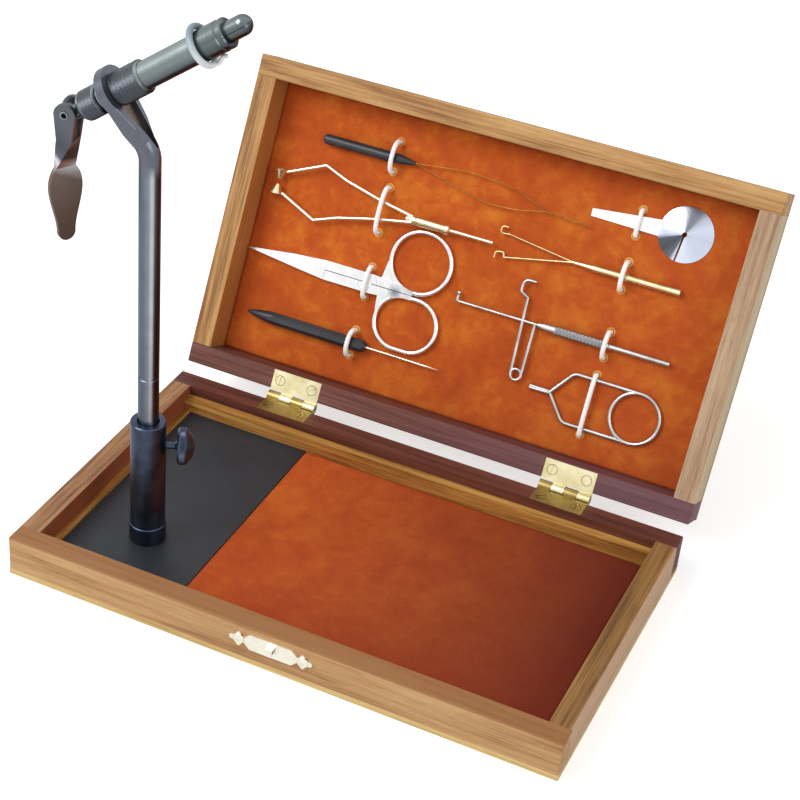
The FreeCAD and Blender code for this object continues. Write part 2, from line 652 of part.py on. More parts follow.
def eye_section(level, middle, half_x, half_y, corner):
    """Rounded rectangle across the neck at one level of the head's frame."""
    edges = []
    turns = ((1, 1), (-1, 1), (-1, -1), (1, -1))
    last = None
    for way_x, way_y in turns:
        pivot = Vector(middle + way_x * (half_x - corner), way_y * (half_y - corner), level)
        ends = [pivot + X_AXIS * (way_x * corner), pivot + Y_AXIS * (way_y * corner)]
        if way_x != way_y:
            ends.reverse()
        crown = pivot + Vector(way_x, way_y, 0) * (corner / math.sqrt(2))
        if last is not None:
            edges.append(Part.makeLine(last, ends[0]))
        edges.append(Part.Arc(ends[0], crown, ends[1]).toShape())
        last = ends[1]
        if len(edges) == 1:
            first = ends[0]
    edges.append(Part.makeLine(last, first))
    return Part.Wire(edges)


def eye_shape():
    """The neck spreads in width and thins from the round of the stem to the ring."""
    centre = size("eye_offset")
    half = size("eye_plate") / 2
    ring = size("eye_radius")
    radius = size("stem_radius")
    foot = bend_run - size("neck_length")
    spread = math.asin((ring - radius) / -foot)
    side = Vector(0, ring * math.cos(spread), -ring * math.sin(spread))
    waist = foot + 0.36 * (side.z - foot)
    lower = eye_section(foot, 0, radius, radius, radius * 0.98)
    middle = eye_section(waist, 0.4 * centre, radius * 0.8, radius + 0.36 * (side.y - radius), 1.6)
    upper = eye_section(side.z, centre, half, side.y, 0.7)
    neck = Part.makeLoft([lower, middle, upper], True, True)
    disc = cylinder(ring, 2 * half, Vector(centre - half, 0, 0), X_AXIS)
    shape = neck.fuse(disc)
    shape.Placement = HEAD
    return shape


def slot_shape():
    """Hole for the barrel, running down in a narrowing slot between the eye's two legs."""
    depth = 6 * size("eye_plate")
    reach = size("neck_length")
    core = size("barrel_core_radius")
    apex = 0.6
    spread = math.asin((core - apex) / reach)
    side = Vector(0, core * math.cos(spread), -core * math.sin(spread))
    foot = Vector(0, apex, -reach)
    other_side = Vector(0, -side.y, side.z)
    other_foot = Vector(0, -apex, -reach)
    edges = [Part.Arc(side, Vector(0, 0, core), other_side).toShape(),
             Part.makeLine(other_side, other_foot),
             Part.makeLine(other_foot, foot),
             Part.makeLine(foot, side)]
    leg = Part.Face(Part.Wire(edges)).extrude(X_AXIS * depth)
    leg.translate(X_AXIS * (size("eye_offset") - depth / 2))
    leg.Placement = HEAD.multiply(leg.Placement)
    return leg


# ---------------------------------------------------------------- vise head

def vise_head():
    left = "eye_offset - eye_plate / 2"
    right = "eye_offset + eye_plate / 2"
    bore = "rod_radius + head_clearance"
    barrel = [(left + " - shoulder_length", bore), ("barrel_length + tenon_length", bore),
              ("barrel_length + tenon_length", "barrel_radius"), (right, "barrel_radius"),
              (right, "barrel_core_radius"), (left, "barrel_core_radius"),
              (left, "shoulder_radius"), (left + " - shoulder_length", "shoulder_radius")]
    turned("vise_barrel", barrel, HEAD)
    end = right + " + collar_length"
    collar = [(right, "barrel_radius"), (end, "barrel_radius"), (end, "barrel_radius + 0.3"),
              (end + " - 1.2", "collar_radius"), (right + " + 0.4", "collar_radius"),
              (right, "collar_radius - 0.4")]
    turned("vise_front_collar", collar, HEAD)
    # The clip's spring ring grips the barrel from below.
    hang = (size("clip_radius") - size("clip_wire_radius") - size("barrel_radius")
            - size("running_clearance"))
    ring = Part.makeTorus(size("clip_radius"), size("clip_wire_radius"),
                          Vector(size("barrel_length") - size("clip_setback"), 0, hang), X_AXIS)
    feature("vise_material_clip", ring, HEAD)
    start = "barrel_length + ferrule_gap"
    end = start + " + ferrule_length"
    cap = "jaw_radius + head_clearance"
    tenon = "barrel_length + tenon_length"
    ferrule = [(start, "barrel_radius"), (tenon, "barrel_radius"),
               (tenon, cap), (end, cap), (end, "ferrule_radius - 0.5"),
               (end + " - 0.5", "ferrule_radius"), (start + " + 0.5", "ferrule_radius"),
               (start, "ferrule_radius - 0.5")]
    turned("vise_ferrule", ferrule, HEAD)
    jaws()
    back = left + " - shoulder_length - nut_gap"
    nut = [(back + " - nut_length", bore), (back, bore), (back, "nut_radius - 0.6"),
           (back + " - 0.6", "nut_radius"), (back + " - nut_length + 1.6", "nut_radius"),
           (back + " - nut_length", "nut_radius - 1.2")]
    turned("vise_adjusting_nut", nut, HEAD)


def jaws():
    """Draw rod with its cross-bored rear end and the split, round-nosed jaws in front."""
    ferrule_end = size("barrel_length") + size("ferrule_gap") + size("ferrule_length")
    start = ferrule_end + size("head_clearance")
    flange = start + size("jaw_flange_length")
    body_end = flange + size("jaw_body_length")
    nose = ferrule_end + size("jaw_reach")
    jaw = size("jaw_radius")
    rod = size("rod_radius")
    back = -size("lever_pin_back")
    steps = [(back, 0), (back, rod), (start - 3, rod), (start - 3, jaw), (start, jaw),
             (start, size("jaw_flange_radius")), (flange, size("jaw_flange_radius")),
             (flange, size("jaw_body_radius")), (body_end - 0.5, size("jaw_body_radius")),
             (body_end, size("jaw_body_radius") - 0.5), (body_end, jaw), (nose - jaw, jaw)]
    corners = [Vector(x, y, 0) for x, y in steps]
    edges = [Part.makeLine(corners[k], corners[k + 1]) for k in range(len(corners) - 1)]
    bulge = Vector(nose - jaw + jaw * math.sin(math.radians(40)),
                   jaw * math.cos(math.radians(40)), 0)
    tip = Vector(nose, 0, 0)
    edges.append(Part.Arc(corners[-1], bulge, tip).toShape())
    edges.append(Part.makeLine(tip, corners[0]))
    turned_bar = Part.Face(Part.Wire(edges)).revolve(Vector(), X_AXIS, 360)
    tongue = cylinder(size("rod_end_radius"), 2 * rod,
                      Vector(back, -rod, size("lever_pin_rise")), Y_AXIS)
    shape = turned_bar.fuse(tongue)
    slot = Part.makeBox(nose - flange, 2 * size("jaw_body_radius") + 2, size("jaw_slot"),
                        Vector(flange + 0.8, -size("jaw_body_radius") - 1, -size("jaw_slot") / 2))
    pin = cylinder(size("lever_pin_radius"), 4 * rod,
                   Vector(back, -2 * rod, size("lever_pin_rise")), Y_AXIS)
    feature("vise_jaws", shape.cut(slot).cut(pin), HEAD)
    length = 2 * (size("cheek_inner") + size("cheek_thickness")) + 0.6
    ends = Vector(0, -length / 2, 0)
    hollow = cylinder(size("lever_pin_bore"), length, ends, Y_AXIS)
    pin = cylinder(size("lever_pin_radius"), length, ends, Y_AXIS).cut(hollow)
    feature("vise_lever_pin", pin, LEVER)


def cheek_outline(y):
    """Side plate of the lever's fork, round at the pin and tapering as it hangs."""
    radius = size("cheek_radius")
    drop = size("cheek_drop")
    foot = radius * 0.6
    edges = [Part.Arc(Vector(-radius, y, 0), Vector(0, y, radius), Vector(radius, y, 0)).toShape(),
             Part.makeLine(Vector(radius, y, 0), Vector(foot, y, -drop)),
             Part.makeLine(Vector(foot, y, -drop), Vector(-radius * 0.8, y, -drop)),
             Part.makeLine(Vector(-radius * 0.8, y, -drop), Vector(-radius, y, 0))]
    return Part.Wire(edges)


def leaf_outline():
    """Thumb blade of the lever in its own XZ plane, widest near the top."""
    half = size("leaf_blade_width") / 2
    top = -size("neck_drop")
    tip = -size("leaf_drop")
    end = size("leaf_tip_radius")
    right = Part.BSplineCurve()
    right.interpolate([Vector(half * 0.62, 0, top), Vector(half, 0, top + 0.2 * (tip - top)),
                       Vector(half * 0.86, 0, (top + tip) / 2), Vector(end, 0, tip + end)])
    left = right.copy()
    left.mirror(Vector(), Z_AXIS)
    round_tip = Part.Arc(Vector(end, 0, tip + end), Vector(0, 0, tip), Vector(-end, 0, tip + end))
    closing = Part.makeLine(Vector(-half * 0.62, 0, top), Vector(half * 0.62, 0, top))
    return Part.Wire(Part.__sortEdges__([right.toShape(), round_tip.toShape(),
                                         left.toShape(), closing]))


def cam_lever():
    """Cam lever: a fork on the draw rod's pin, a twisted neck and a broad thumb blade."""
    thick = size("cheek_thickness")
    inner = size("cheek_inner")
    outer = inner + thick
    drop = size("cheek_drop")
    radius = size("cheek_radius")
    cheeks = [Part.Face(cheek_outline(start)).extrude(Y_AXIS * thick)
              for start in (-outer, inner)]
    crotch = size("rod_end_radius") + 1.2
    bridge = Part.makePolygon([Vector(-radius * 0.85, -outer, -drop), Vector(radius * 0.6, -outer, -drop),
                               Vector(radius * 0.6, outer, -drop), Vector(-radius * 0.85, outer, -drop),
                               Vector(-radius * 0.85, -outer, -drop)])
    shift = -size("leaf_shift")
    turn = Placement(Vector(shift, 0, -size("neck_drop")), Rotation(Z_AXIS, size("leaf_turn")))
    neck = size("leaf_blade_width") * 0.31
    half = size("leaf_blade_thickness") / 2
    foot = Part.makePolygon([Vector(-neck, -half, 0), Vector(neck, -half, 0),
                             Vector(neck, half, 0), Vector(-neck, half, 0), Vector(-neck, -half, 0)])
    foot.Placement = turn
    twist = Part.makeLoft([bridge, foot], True)
    web_top = -crotch
    web = Part.makeBox(radius * 1.2, 2 * outer, drop + web_top + 0.4,
                       Vector(-radius * 0.7, -outer, -drop - 0.2))
    blade = Part.Face(leaf_outline()).extrude(Y_AXIS * 2 * half)
    blade.translate(Vector(0, -half, 0))
    blade.rotate(Vector(), Z_AXIS, size("leaf_turn"))
    blade.translate(Vector(shift, 0, 0))
    shape = twist.multiFuse(cheeks + [web, blade])
    bore = cylinder(size("lever_pin_radius") + size("running_clearance"), 4 * outer,
                    Vector(0, -2 * outer, 0), Y_AXIS)
    relief = cylinder(crotch, 2 * inner, Vector(0, -inner, 0), Y_AXIS)
    feature("vise_cam_lever", shape.cut(bore).cut(relief), LEVER)


# ---------------------------------------------------------------- lid lining and cords

def on_lining(tool, radius):
    """Frame of a tool of this radius lying on the lining: X as the lid's own X."""
    return in_lid(0, tool, size("seat_gap") + radius)


def cords():
    """Tool, place, reaches to either side and crest above the lining of each cord."""
    gap = size("seat_gap")
    crest = {"threader": 2 * size("threader_radius"),
             "bobbin": size("bobbin_cup_radius") + size("bobbin_arm_radius"),
             "scissors": 2 * size("scissors_leaf") + size("scissors_screw_rise"),
             "bodkin": size("bodkin_handle_width"),
             "guard": size("guard_sheet"),
             "twister": 2 * size("twister_radius"),
             "whip": 2 * size("grip_radius"),
             "pliers": 2 * size("pliers_wire_radius")}
    spots = [("threader", -0.2333, 1.16, 0.99), ("bobbin", -0.2313, 1.53, 1.46),
             ("scissors", -0.225, 1.05, 1.0), ("bodkin", -0.225, 0.9, 1.0),
             ("guard", 0.2763, 0.75, 1.01), ("twister", 0.2775, 1.04, 0.96),
             ("whip", 0.2817, 0.94, 0.91), ("pliers", 0.2792, 2.03, 2.17)]
    return [(tool, share, ahead, behind, crest[tool] + 2 * gap + size("cord_radius"))
            for tool, share, ahead, behind in spots]


def lid_lining():
    lining = new_body("lid_lining", LID)
    plan = rectangle("-(box_width / 2 - board_thickness)", "hinge_offset + board_thickness",
                     "box_width / 2 - board_thickness",
                     "hinge_offset + box_depth - board_thickness")
    level = "-(lid_height - top_thickness)"
    pad(lining, outline(lining, "Plan", "XY_Plane", plan, level), "lining_thickness")
    holes = []
    for tool, share, ahead, behind, crest in cords():
        middle = "hinge_offset + " + row_text(tool)
        holes.append((along_text(share), middle + " + loop_reach * %s" % ahead))
        holes.append((along_text(share), middle + " - loop_reach * %s" % behind))
    drill(lining, "cord_holes", "XY_Plane", holes, "cord_radius + cord_hole_clearance",
          "lining_thickness", "-(lid_height - top_thickness - lining_thickness)")


def elastic_loops():
    """Round elastic cords, each a staple through the lining over the tool beneath it."""
    radius = size("cord_radius")
    reach = size("loop_reach")
    low = -(size("lid_height") - size("top_thickness"))
    loops = []
    for tool, share, ahead, behind, crest in cords():
        middle = size("hinge_offset") + row(tool)
        high = -lining_depth + crest
        left = along(share)
        points = [Vector(left, middle - behind * reach, low), Vector(left, middle - behind * reach, high),
                  Vector(left, middle + ahead * reach, high), Vector(left, middle + ahead * reach, low)]
        bend = min(crest * 0.72, 0.62 * reach * min(ahead, behind))
        loop = tube(rounded_path(points, bend), radius)
        loop.Placement = LID
        loops.append(loop)
    feature("elastic_loops", Part.makeCompound(loops))


# ---------------------------------------------------------------- tools, left of the lid

def flat_path(points, bend):
    """Path in a tool's own XY plane."""
    return rounded_path([Vector(x, y, 0) for x, y in points], bend)


def threader():
    frame = on_lining("threader", size("threader_radius"))
    left = along_text("threader_place")
    neck = left + " + threader_length - threader_cone"
    end = left + " + threader_length"
    handle = [(left, "0"), (end, "0"), (end, "threader_radius * 0.32"), (neck, "threader_radius"),
              (left + " + 0.9", "threader_radius"), (left, "threader_radius - 0.9")]
    turned("threader_handle", handle, frame)
    start = along(size("threader_place")) + size("threader_length")
    reach = size("threader_wire_length")
    spread = size("threader_loop_spread")
    bow = size("threader_bow")
    radius = size("threader_wire_radius")
    joint_x = start + 0.75 * reach
    upper = flat_path([(start, 0), (start + 0.3 * reach, 0.75 * spread),
                       (start + 0.56 * reach, 0.35 * spread), (joint_x, -1.2 * spread)],
                      1.5 * bow)
    lower = flat_path([(start, 0), (start + 0.42 * reach, -2.15 * spread),
                       (start + 0.6 * reach, -1.95 * spread), (joint_x, -1.22 * spread),
                       (start + reach, -1.52 * spread)],
                      [bow, 1.5 * bow, 0.5 * bow])
    strands = [tube(path, radius) for path in (upper, lower)]
    joint = Part.makeSphere(radius * 1.5, Vector(joint_x, -1.22 * spread, 0))
    root = cylinder(radius * 1.6, 1.5, Vector(start, 0, 0), X_AXIS)
    feature("threader_wire", root.multiFuse(strands + [joint]), frame)


def bobbin():
    frame = on_lining("bobbin", size("bobbin_cup_radius"))
    left = along(size("bobbin_place"))
    start = left + size("bobbin_arm_length")
    cup = size("bobbin_cup_radius")
    arm = size("bobbin_arm_radius")
    seat = size("bobbin_foot_spread")
    solids = []
    for side in (-1, 1):
        path = flat_path([(left + 0.8, side * seat), (left + size("bobbin_bend"),
                                                      side * size("bobbin_spread")),
                          (left + 0.45 * size("bobbin_arm_length"), side * 0.68
                           * size("bobbin_spread")),
                          (left + 0.73 * size("bobbin_arm_length"), side * 0.33
                           * size("bobbin_spread")),
                          (start - 1.5, side * (size("bobbin_body_radius") - arm - 0.1))],
                         [1.5, size("bobbin_bow"), size("bobbin_bow")])
        solids.append(tube(path, arm))
    stub = cylinder(size("bobbin_body_radius"), 1.5, Vector(start - 1.5, 0, 0), X_AXIS)
    thread = cylinder(size("bobbin_body_radius") * 0.36, size("bobbin_stub_length"),
                      Vector(start - size("bobbin_stub_length"), 0, 0), X_AXIS)
    feature("bobbin_frame", stub.multiFuse(solids + [thread]), frame)
    cups = []
    for side in (-1, 1):
        base = Vector(left - cup * 0.7, side * (seat + 0.6), 0)
        inward = Y_AXIS * -side
        shell = Part.makeCone(cup, cup * 0.3, size("bobbin_cup_height"), base, inward)
        hollow = Part.makeCone(cup * 0.8, cup * 0.1, size("bobbin_cup_height") - 1.2,
                               base, inward)
        shell = shell.cut(hollow)
        for solid in solids:
            shell = shell.cut(solid)
        cups.append(shell)
    feature("bobbin_cups", Part.makeCompound(cups), frame)
    begin = along_text("bobbin_place") + " + bobbin_arm_length"
    end = begin + " + bobbin_body_length"
    body = [(begin, "bobbin_tube_radius"), (end, "bobbin_tube_radius"),
            (end, "bobbin_body_radius - 0.5"), (end + " - 0.5", "bobbin_body_radius + 0.25"),
            (end + " - 2.4", "bobbin_body_radius + 0.25"),
            (end + " - 2.8", "bobbin_body_radius - 0.2"),
            (begin + " + 0.4", "bobbin_body_radius"), (begin, "bobbin_body_radius - 0.4")]
    turned("bobbin_body", body, frame)
    turned("bobbin_tube", sleeve(begin, end + " + bobbin_tube_length", "bobbin_tube_radius",
                                 "bobbin_tube_radius * 0.5"), frame)


def oval_half(centre, half_length, half_width, way):
    """One end of an oval with straight flanks, as an open wire; way is 1 for the right end."""
    flank = max(half_length - half_width, 0.01)
    low = centre - Y_AXIS * half_width
    high = centre + Y_AXIS * half_width
    shift = X_AXIS * (way * flank)
    end = centre + X_AXIS * (way * (flank + half_width))
    return Part.Wire([Part.makeLine(low, low + shift),
                      Part.Arc(low + shift, end, high + shift).toShape(),
                      Part.makeLine(high + shift, high)])


def oval_ring(centre, half_length, half_width, radius):
    ends = [tube(oval_half(centre, half_length, half_width, way), radius) for way in (-1, 1)]
    return ends[0].fuse(ends[1])


def oval_plug(centre, half_length, half_width, height):
    edges = []
    for way in (-1, 1):
        edges += oval_half(centre, half_length, half_width, way).Edges
    return Part.Face(Part.Wire(Part.__sortEdges__(edges))).extrude(Z_AXIS * height)


def scissors():
    """Two crossed halves on a screw: each has a blade, a joggled shank and a finger ring."""
    gauge = size("scissors_leaf")
    pivot = along(size("scissors_place"))
    frame = in_lid(pivot, "scissors", size("seat_gap"))
    tip = size("board_thickness") - half_width + size("scissors_tip_gap") - pivot
    half = size("scissors_blade_width") / 2
    step = 0.355 * tip
    shank = size("shank_width")
    reach = size("ring_reach")
    wire = size("ring_wire_radius")
    line = size("knuckle_gap") / 2
    upper_room = (row("bobbin") - row("scissors") - size("bobbin_body_radius")
                  - size("upper_ring_clearance"))
    lower_room = (row("scissors") - row("bodkin") - size("needle_radius")
                  - size("lower_ring_clearance"))
    blade = [Vector(tip, 0.15, 0), Vector(tip, -0.15, 0), Vector(0.62 * tip, -0.62 * half, 0),
             Vector(step, -half, 0), Vector(step, half, 0), Vector(0.62 * tip, 0.7 * half, 0)]
    halves = []
    for side, low, name, room, length in (
            (-1, gauge, "a", lower_room, size("lower_ring_half_length")),
            (1, 0, "b", upper_room, size("upper_ring_half_length"))):
        # side is the ring's side of the row; low is the level of the blade's own leaf.
        across = (room - size("ring_gap")) / 2 - wire
        spread = size("ring_gap") + wire + across
        cheek = Part.makeBox(-step + 0.5, half - line, gauge,
                             Vector(step - 0.5, min(-side * line, -side * half), low))
        doubled = Part.makeBox(-step - line, half - line, 2 * gauge,
                               Vector(step + line, min(-side * line, -side * half), 0))
        tail = flat_solid([Vector(-1, side * line, 0), Vector(reach, side * line, 0),
                           Vector(reach, side * (line + 2 * wire), 0), Vector(10, side * shank, 0),
                           Vector(2, side * half, 0), Vector(-1, side * half, 0)],
                          2 * gauge, Z_AXIS)
        relief = cylinder(half + line, gauge, Z_AXIS * (gauge - low), Z_AXIS)
        thick = doubled.fuse(tail).cut(relief)
        disc = cylinder(half, gauge, Z_AXIS * low, Z_AXIS)
        own = flat_solid(blade, gauge, Z_AXIS)
        own.translate(Z_AXIS * low)
        own = own.multiFuse([cheek, disc])
        ring = oval_ring(Vector(reach, side * spread, gauge), length, across, wire)
        web = flat_solid([Vector(6, side * shank * 0.8, 0), Vector(reach * 0.62, side * 2, 0),
                          Vector(reach - length + wire * 0.4, side * spread * 0.86, 0),
                          Vector(reach - length - wire * 0.6, side * spread * 0.8, 0)],
                         2 * gauge * 0.7, Z_AXIS)
        web.translate(Z_AXIS * gauge * 0.3)
        finger = oval_plug(Vector(reach, side * spread, 0), length - 0.6 * wire,
                           across - 0.6 * wire, 3 * gauge)
        shape = own.multiFuse([thick, web]).cut(finger).fuse(ring)
        halves.append((shape, name))
    bore = size("scissors_screw_radius") * 0.55
    screw = cylinder(bore, 2 * gauge, Vector(), Z_AXIS)
    head = cylinder(size("scissors_screw_radius"), size("scissors_screw_rise"),
                    Z_AXIS * 2 * gauge, Z_AXIS)
    groove = Part.makeBox(2 * size("scissors_screw_radius"), 0.5, 0.25,
                          Vector(-size("scissors_screw_radius"), -0.25,
                                 2 * gauge + size("scissors_screw_rise") - 0.25))
    for shape, name in halves:
        play = size("running_clearance") if name == "a" else 0
        hole = cylinder(bore + play, 2 * gauge, Vector(), Z_AXIS)
        feature("scissors_blade_" + name, shape.cut(hole), frame)
    feature("scissors_screw", screw.fuse(head).cut(groove), frame)


def bodkin():
    width = size("bodkin_handle_width")
    frame = on_lining("bodkin", width / 2)
    left = along(size("bodkin_place"))
    length = size("bodkin_handle_length")
    bullet = size("bodkin_bullet")
    corner = width / 2 / math.cos(math.pi / 8)
    points = [Vector(left, corner * math.cos(math.pi * (2 * i + 1) / 8),
                     corner * math.sin(math.pi * (2 * i + 1) / 8)) for i in range(8)]
    prism = flat_solid(points, length, X_AXIS)
    start = Vector(left, 0, 0)
    shoulder = Vector(left + bullet, corner, 0)
    nose = Part.Arc(Vector(left, 0.5, 0), Vector(left + bullet * 0.42, corner * 0.74, 0), shoulder)
    edges = [Part.makeLine(start, Vector(left, 0.5, 0)), nose.toShape(),
             Part.makeLine(shoulder, Vector(left + length - 1.5, corner, 0)),
             Part.makeLine(Vector(left + length - 1.5, corner, 0),
                           Vector(left + length, corner - 1.5, 0)),
             Part.makeLine(Vector(left + length, corner - 1.5, 0), Vector(left + length, 0, 0)),
             Part.makeLine(Vector(left + length, 0, 0), start)]
    round_bar = Part.Face(Part.Wire(edges)).revolve(Vector(), X_AXIS, 360)
    feature("bodkin_handle", prism.common(round_bar), frame)
    root = along_text("bodkin_place") + " + bodkin_handle_length"
    needle = [(root, "0"), (root + " + needle_length", "0"),
              (root + " + needle_length - 6", "needle_radius"), (root, "needle_radius")]
    turned("bodkin_needle", needle, frame)


# ---------------------------------------------------------------- tools, right of the lid

def hackle_guard():
    """Shallow cone of thin sheet with a centre hole, a slit and a flat tapering handle."""
    frame = in_lid(along(size("guard_place")), "guard", size("seat_gap"))
    gauge = size("guard_sheet")
    radius = size("guard_radius")
    depth = size("guard_depth")
    cone = Part.makeCone(radius, size("guard_hole_radius"), depth)
    inner = cone.copy()
    inner.translate(Z_AXIS * -gauge)
    inner = inner.fuse(cylinder(radius, gauge, Z_AXIS * -gauge, Z_AXIS))
    shell = cone.cut(inner).cut(cylinder(size("guard_hole_radius"), depth + 1, Vector(), Z_AXIS))
    slit = Part.makeBox(size("guard_slit"), radius + 1, depth + 1,
                        Vector(-size("guard_slit") / 2, -radius - 1, 0))
    slit.rotate(Vector(), Z_AXIS, -9)
    wide = size("guard_handle_width") / 2
    narrow = size("guard_handle_tip") / 2
    end = size("guard_handle_reach")
    handle = flat_solid([Vector(-end, -narrow - 1.4, 0), Vector(-radius * 0.8, -wide, 0),
                         Vector(-radius * 0.8, wide, 0), Vector(-end, narrow - 1.4, 0)],
                        gauge, Z_AXIS)
    handle = handle.cut(Part.makeCone(radius, size("guard_hole_radius"), depth,
                                      Z_AXIS * -gauge, Z_AXIS))
    feature("hackle_guard", shell.cut(slit).fuse(handle), frame)


def dubbing_twister():
    frame = on_lining("twister", size("twister_radius"))
    left = along_text("twister_place")
    end = left + " + twister_handle_length"
    taper = left + " + twister_taper"
    handle = [(left, "0"), (end, "0"), (end, "twister_radius - 0.3"),
              (end + " - 0.3", "twister_radius"), (taper, "twister_radius"),
              (taper, "twister_radius - 0.2"), (left, "twister_radius * 0.45")]
    turned("twister_handle", handle, frame)
    start = along(size("twister_place"))
    reach = start - size("twister_wire_length")
    spread = size("twister_spread")
    hook = size("twister_hook")
    radius = size("twister_wire_radius")
    up = [(start, 0.15), (reach + 1.2 * hook, spread - 2 * radius), (reach - hook, spread - hook * 0.6),
          (reach - hook, spread + hook), (reach + 0.5 * hook, spread + hook)]
    down = [(start, -0.15), (reach + 1.1 * hook, -1.3 * spread), (reach + 0.8 * hook, -0.85 * spread),
            (reach - hook, -0.95 * spread), (reach - hook, -0.95 * spread - 1.4 * hook)]
    wires = [tube(flat_path(up, [0.5, 0.7 * hook, 0.7 * hook]), radius),
             tube(flat_path(down, [0.3, 0.4, 0.8 * hook]), radius)]
    feature("twister_wires", wires[0].fuse(wires[1]), frame)


def whip_finisher():
    """Rod with a hooked end and a bent wire frame; the knurled grip turns on the rod."""
    frame = on_lining("whip", size("grip_radius"))
    rod = size("whip_rod_radius")
    left = along(size("whip_place"))
    end = left + size("whip_length")
    grip_end = left + size("grip_start") + size("grip_length")
    play = size("running_clearance")
    hook_rise = size("whip_hook_radius")
    solids = [tube(flat_path([(left + 0.3, hook_rise), (left, 0), (grip_end + 2, 0)], [0.9]), rod),
              cylinder(size("whip_tail_radius"), end - grip_end - play,
                       Vector(grip_end + play, 0, 0), X_AXIS),
              Part.makeSphere(rod * 1.5, Vector(left + 0.3, hook_rise, 0))]
    place_x = left + size("whip_frame_start")
    wide = size("whip_frame_width")
    rise = size("whip_frame_rise")
    drop = size("whip_frame_drop") + wide / 2
    high = rise + 2 * hook_rise
    leg = flat_path([(place_x + 1, high), (place_x - 5.2, high), (place_x - 5.2, rise + 2),
                     (place_x - 1.2, rise), (place_x + 0.3, -drop)],
                    [hook_rise * 0.75, 1.4, 0.8])
    ring_x = place_x + 0.3 + wide / 2
    solids.append(tube(leg, rod))
    solids.append(Part.makeTorus(wide / 2, rod, Vector(ring_x, -drop, 0), Z_AXIS))
    solids.append(cylinder(rod, drop, Vector(ring_x + wide / 2, -drop, 0), Y_AXIS))
    feature("whip_finisher_rod", solids[0].multiFuse(solids[1:]), frame)
    bore = "whip_rod_radius + running_clearance"
    grip_from = along_text("whip_place") + " + grip_start"
    grip_to = grip_from + " + grip_length"
    grip = [(grip_from + " + running_clearance", bore), (grip_to, bore), (grip_to, "grip_radius - 0.6"),
            (grip_to + " - 1", "grip_radius"), (grip_from + " + 3", "grip_radius"),
            (grip_from + " + running_clearance", "grip_radius - 0.7")]
    turned("whip_finisher_grip", grip, frame)


def hackle_pliers():
    """One spring wire: a coil ring, two bowed arms that cross, and slim jaws."""
    frame = on_lining("pliers", size("pliers_wire_radius"))
    radius = size("pliers_wire_radius")
    coil = size("pliers_ring_radius")
    centre = along(size("pliers_place"))
    cross = centre - size("pliers_cross")
    tip = centre - size("pliers_tip")
    solids = [Part.makeTorus(coil, radius, Vector(centre, 0, 0), Z_AXIS)]
    for side in (-1, 1):
        path = flat_path([(centre, side * coil), (cross + 0.8 * coil, side * coil),
                          (cross, -side * 0.3), (tip, -side * 0.45)],
                         [size("pliers_bow"), 1.5 * radius])
        solids.append(tube(path, radius))
    feature("hackle_pliers", solids[0].multiFuse(solids[1:]), frame)


# ---------------------------------------------------------------- assembly

for build in (base_boards, lid_boards, panels, base_interior, hinges, catch, vise_post,
              vise_stem, vise_head, cam_lever, lid_lining, elastic_loops, threader, bobbin,
              scissors, bodkin, hackle_guard, dubbing_twister, whip_finisher, hackle_pliers):
    build()

doc.recompute()
for obj in doc.Objects:
    if "Invalid" in obj.State or "Error" in obj.State:
        raise RuntimeError("not rebuilt: " + obj.Label)
faulty = [obj.Label for obj in parts
          if obj.Shape.isNull() or not obj.Shape.isValid() or obj.Shape.Volume <= 0]
if faulty:
    raise RuntimeError("bad shapes: " + ", ".join(faulty))

os.makedirs("parts", exist_ok=True)
for obj in parts:
    obj.Shape.exportStep("parts/%s.step" % obj.Label)
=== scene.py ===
import math

import bpy
from mathutils import Matrix, Vector, noise


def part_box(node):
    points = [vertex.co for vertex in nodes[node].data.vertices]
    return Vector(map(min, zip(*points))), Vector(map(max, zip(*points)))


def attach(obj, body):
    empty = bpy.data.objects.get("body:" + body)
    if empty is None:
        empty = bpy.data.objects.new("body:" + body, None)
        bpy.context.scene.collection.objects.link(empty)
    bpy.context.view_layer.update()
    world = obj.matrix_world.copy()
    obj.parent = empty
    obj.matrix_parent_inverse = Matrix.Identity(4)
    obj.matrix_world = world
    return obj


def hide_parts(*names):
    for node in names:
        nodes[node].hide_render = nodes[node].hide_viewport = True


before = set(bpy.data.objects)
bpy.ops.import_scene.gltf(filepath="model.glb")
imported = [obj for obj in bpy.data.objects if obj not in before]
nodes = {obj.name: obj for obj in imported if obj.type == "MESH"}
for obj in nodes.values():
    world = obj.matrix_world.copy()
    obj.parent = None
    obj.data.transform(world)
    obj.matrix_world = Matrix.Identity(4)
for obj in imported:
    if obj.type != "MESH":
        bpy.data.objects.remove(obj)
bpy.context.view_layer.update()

# Dressed scene of the fly tying kit box: materials for every solid, suede, elastic loops, knurls
# and the small fittings, a pale floor, soft lamps and the camera.  Metres, row frame.
# The light and dark of the stem, head, hackle guard, scissors and cam lever is partly painted into
# their base colours, to imitate the photo's reflections.  The fades on the suede and the tints on
# the boards' sides follow the photo's light too.  This is an open fault.
# Colours were chosen one by one beside averages of 43 spots of the photo.

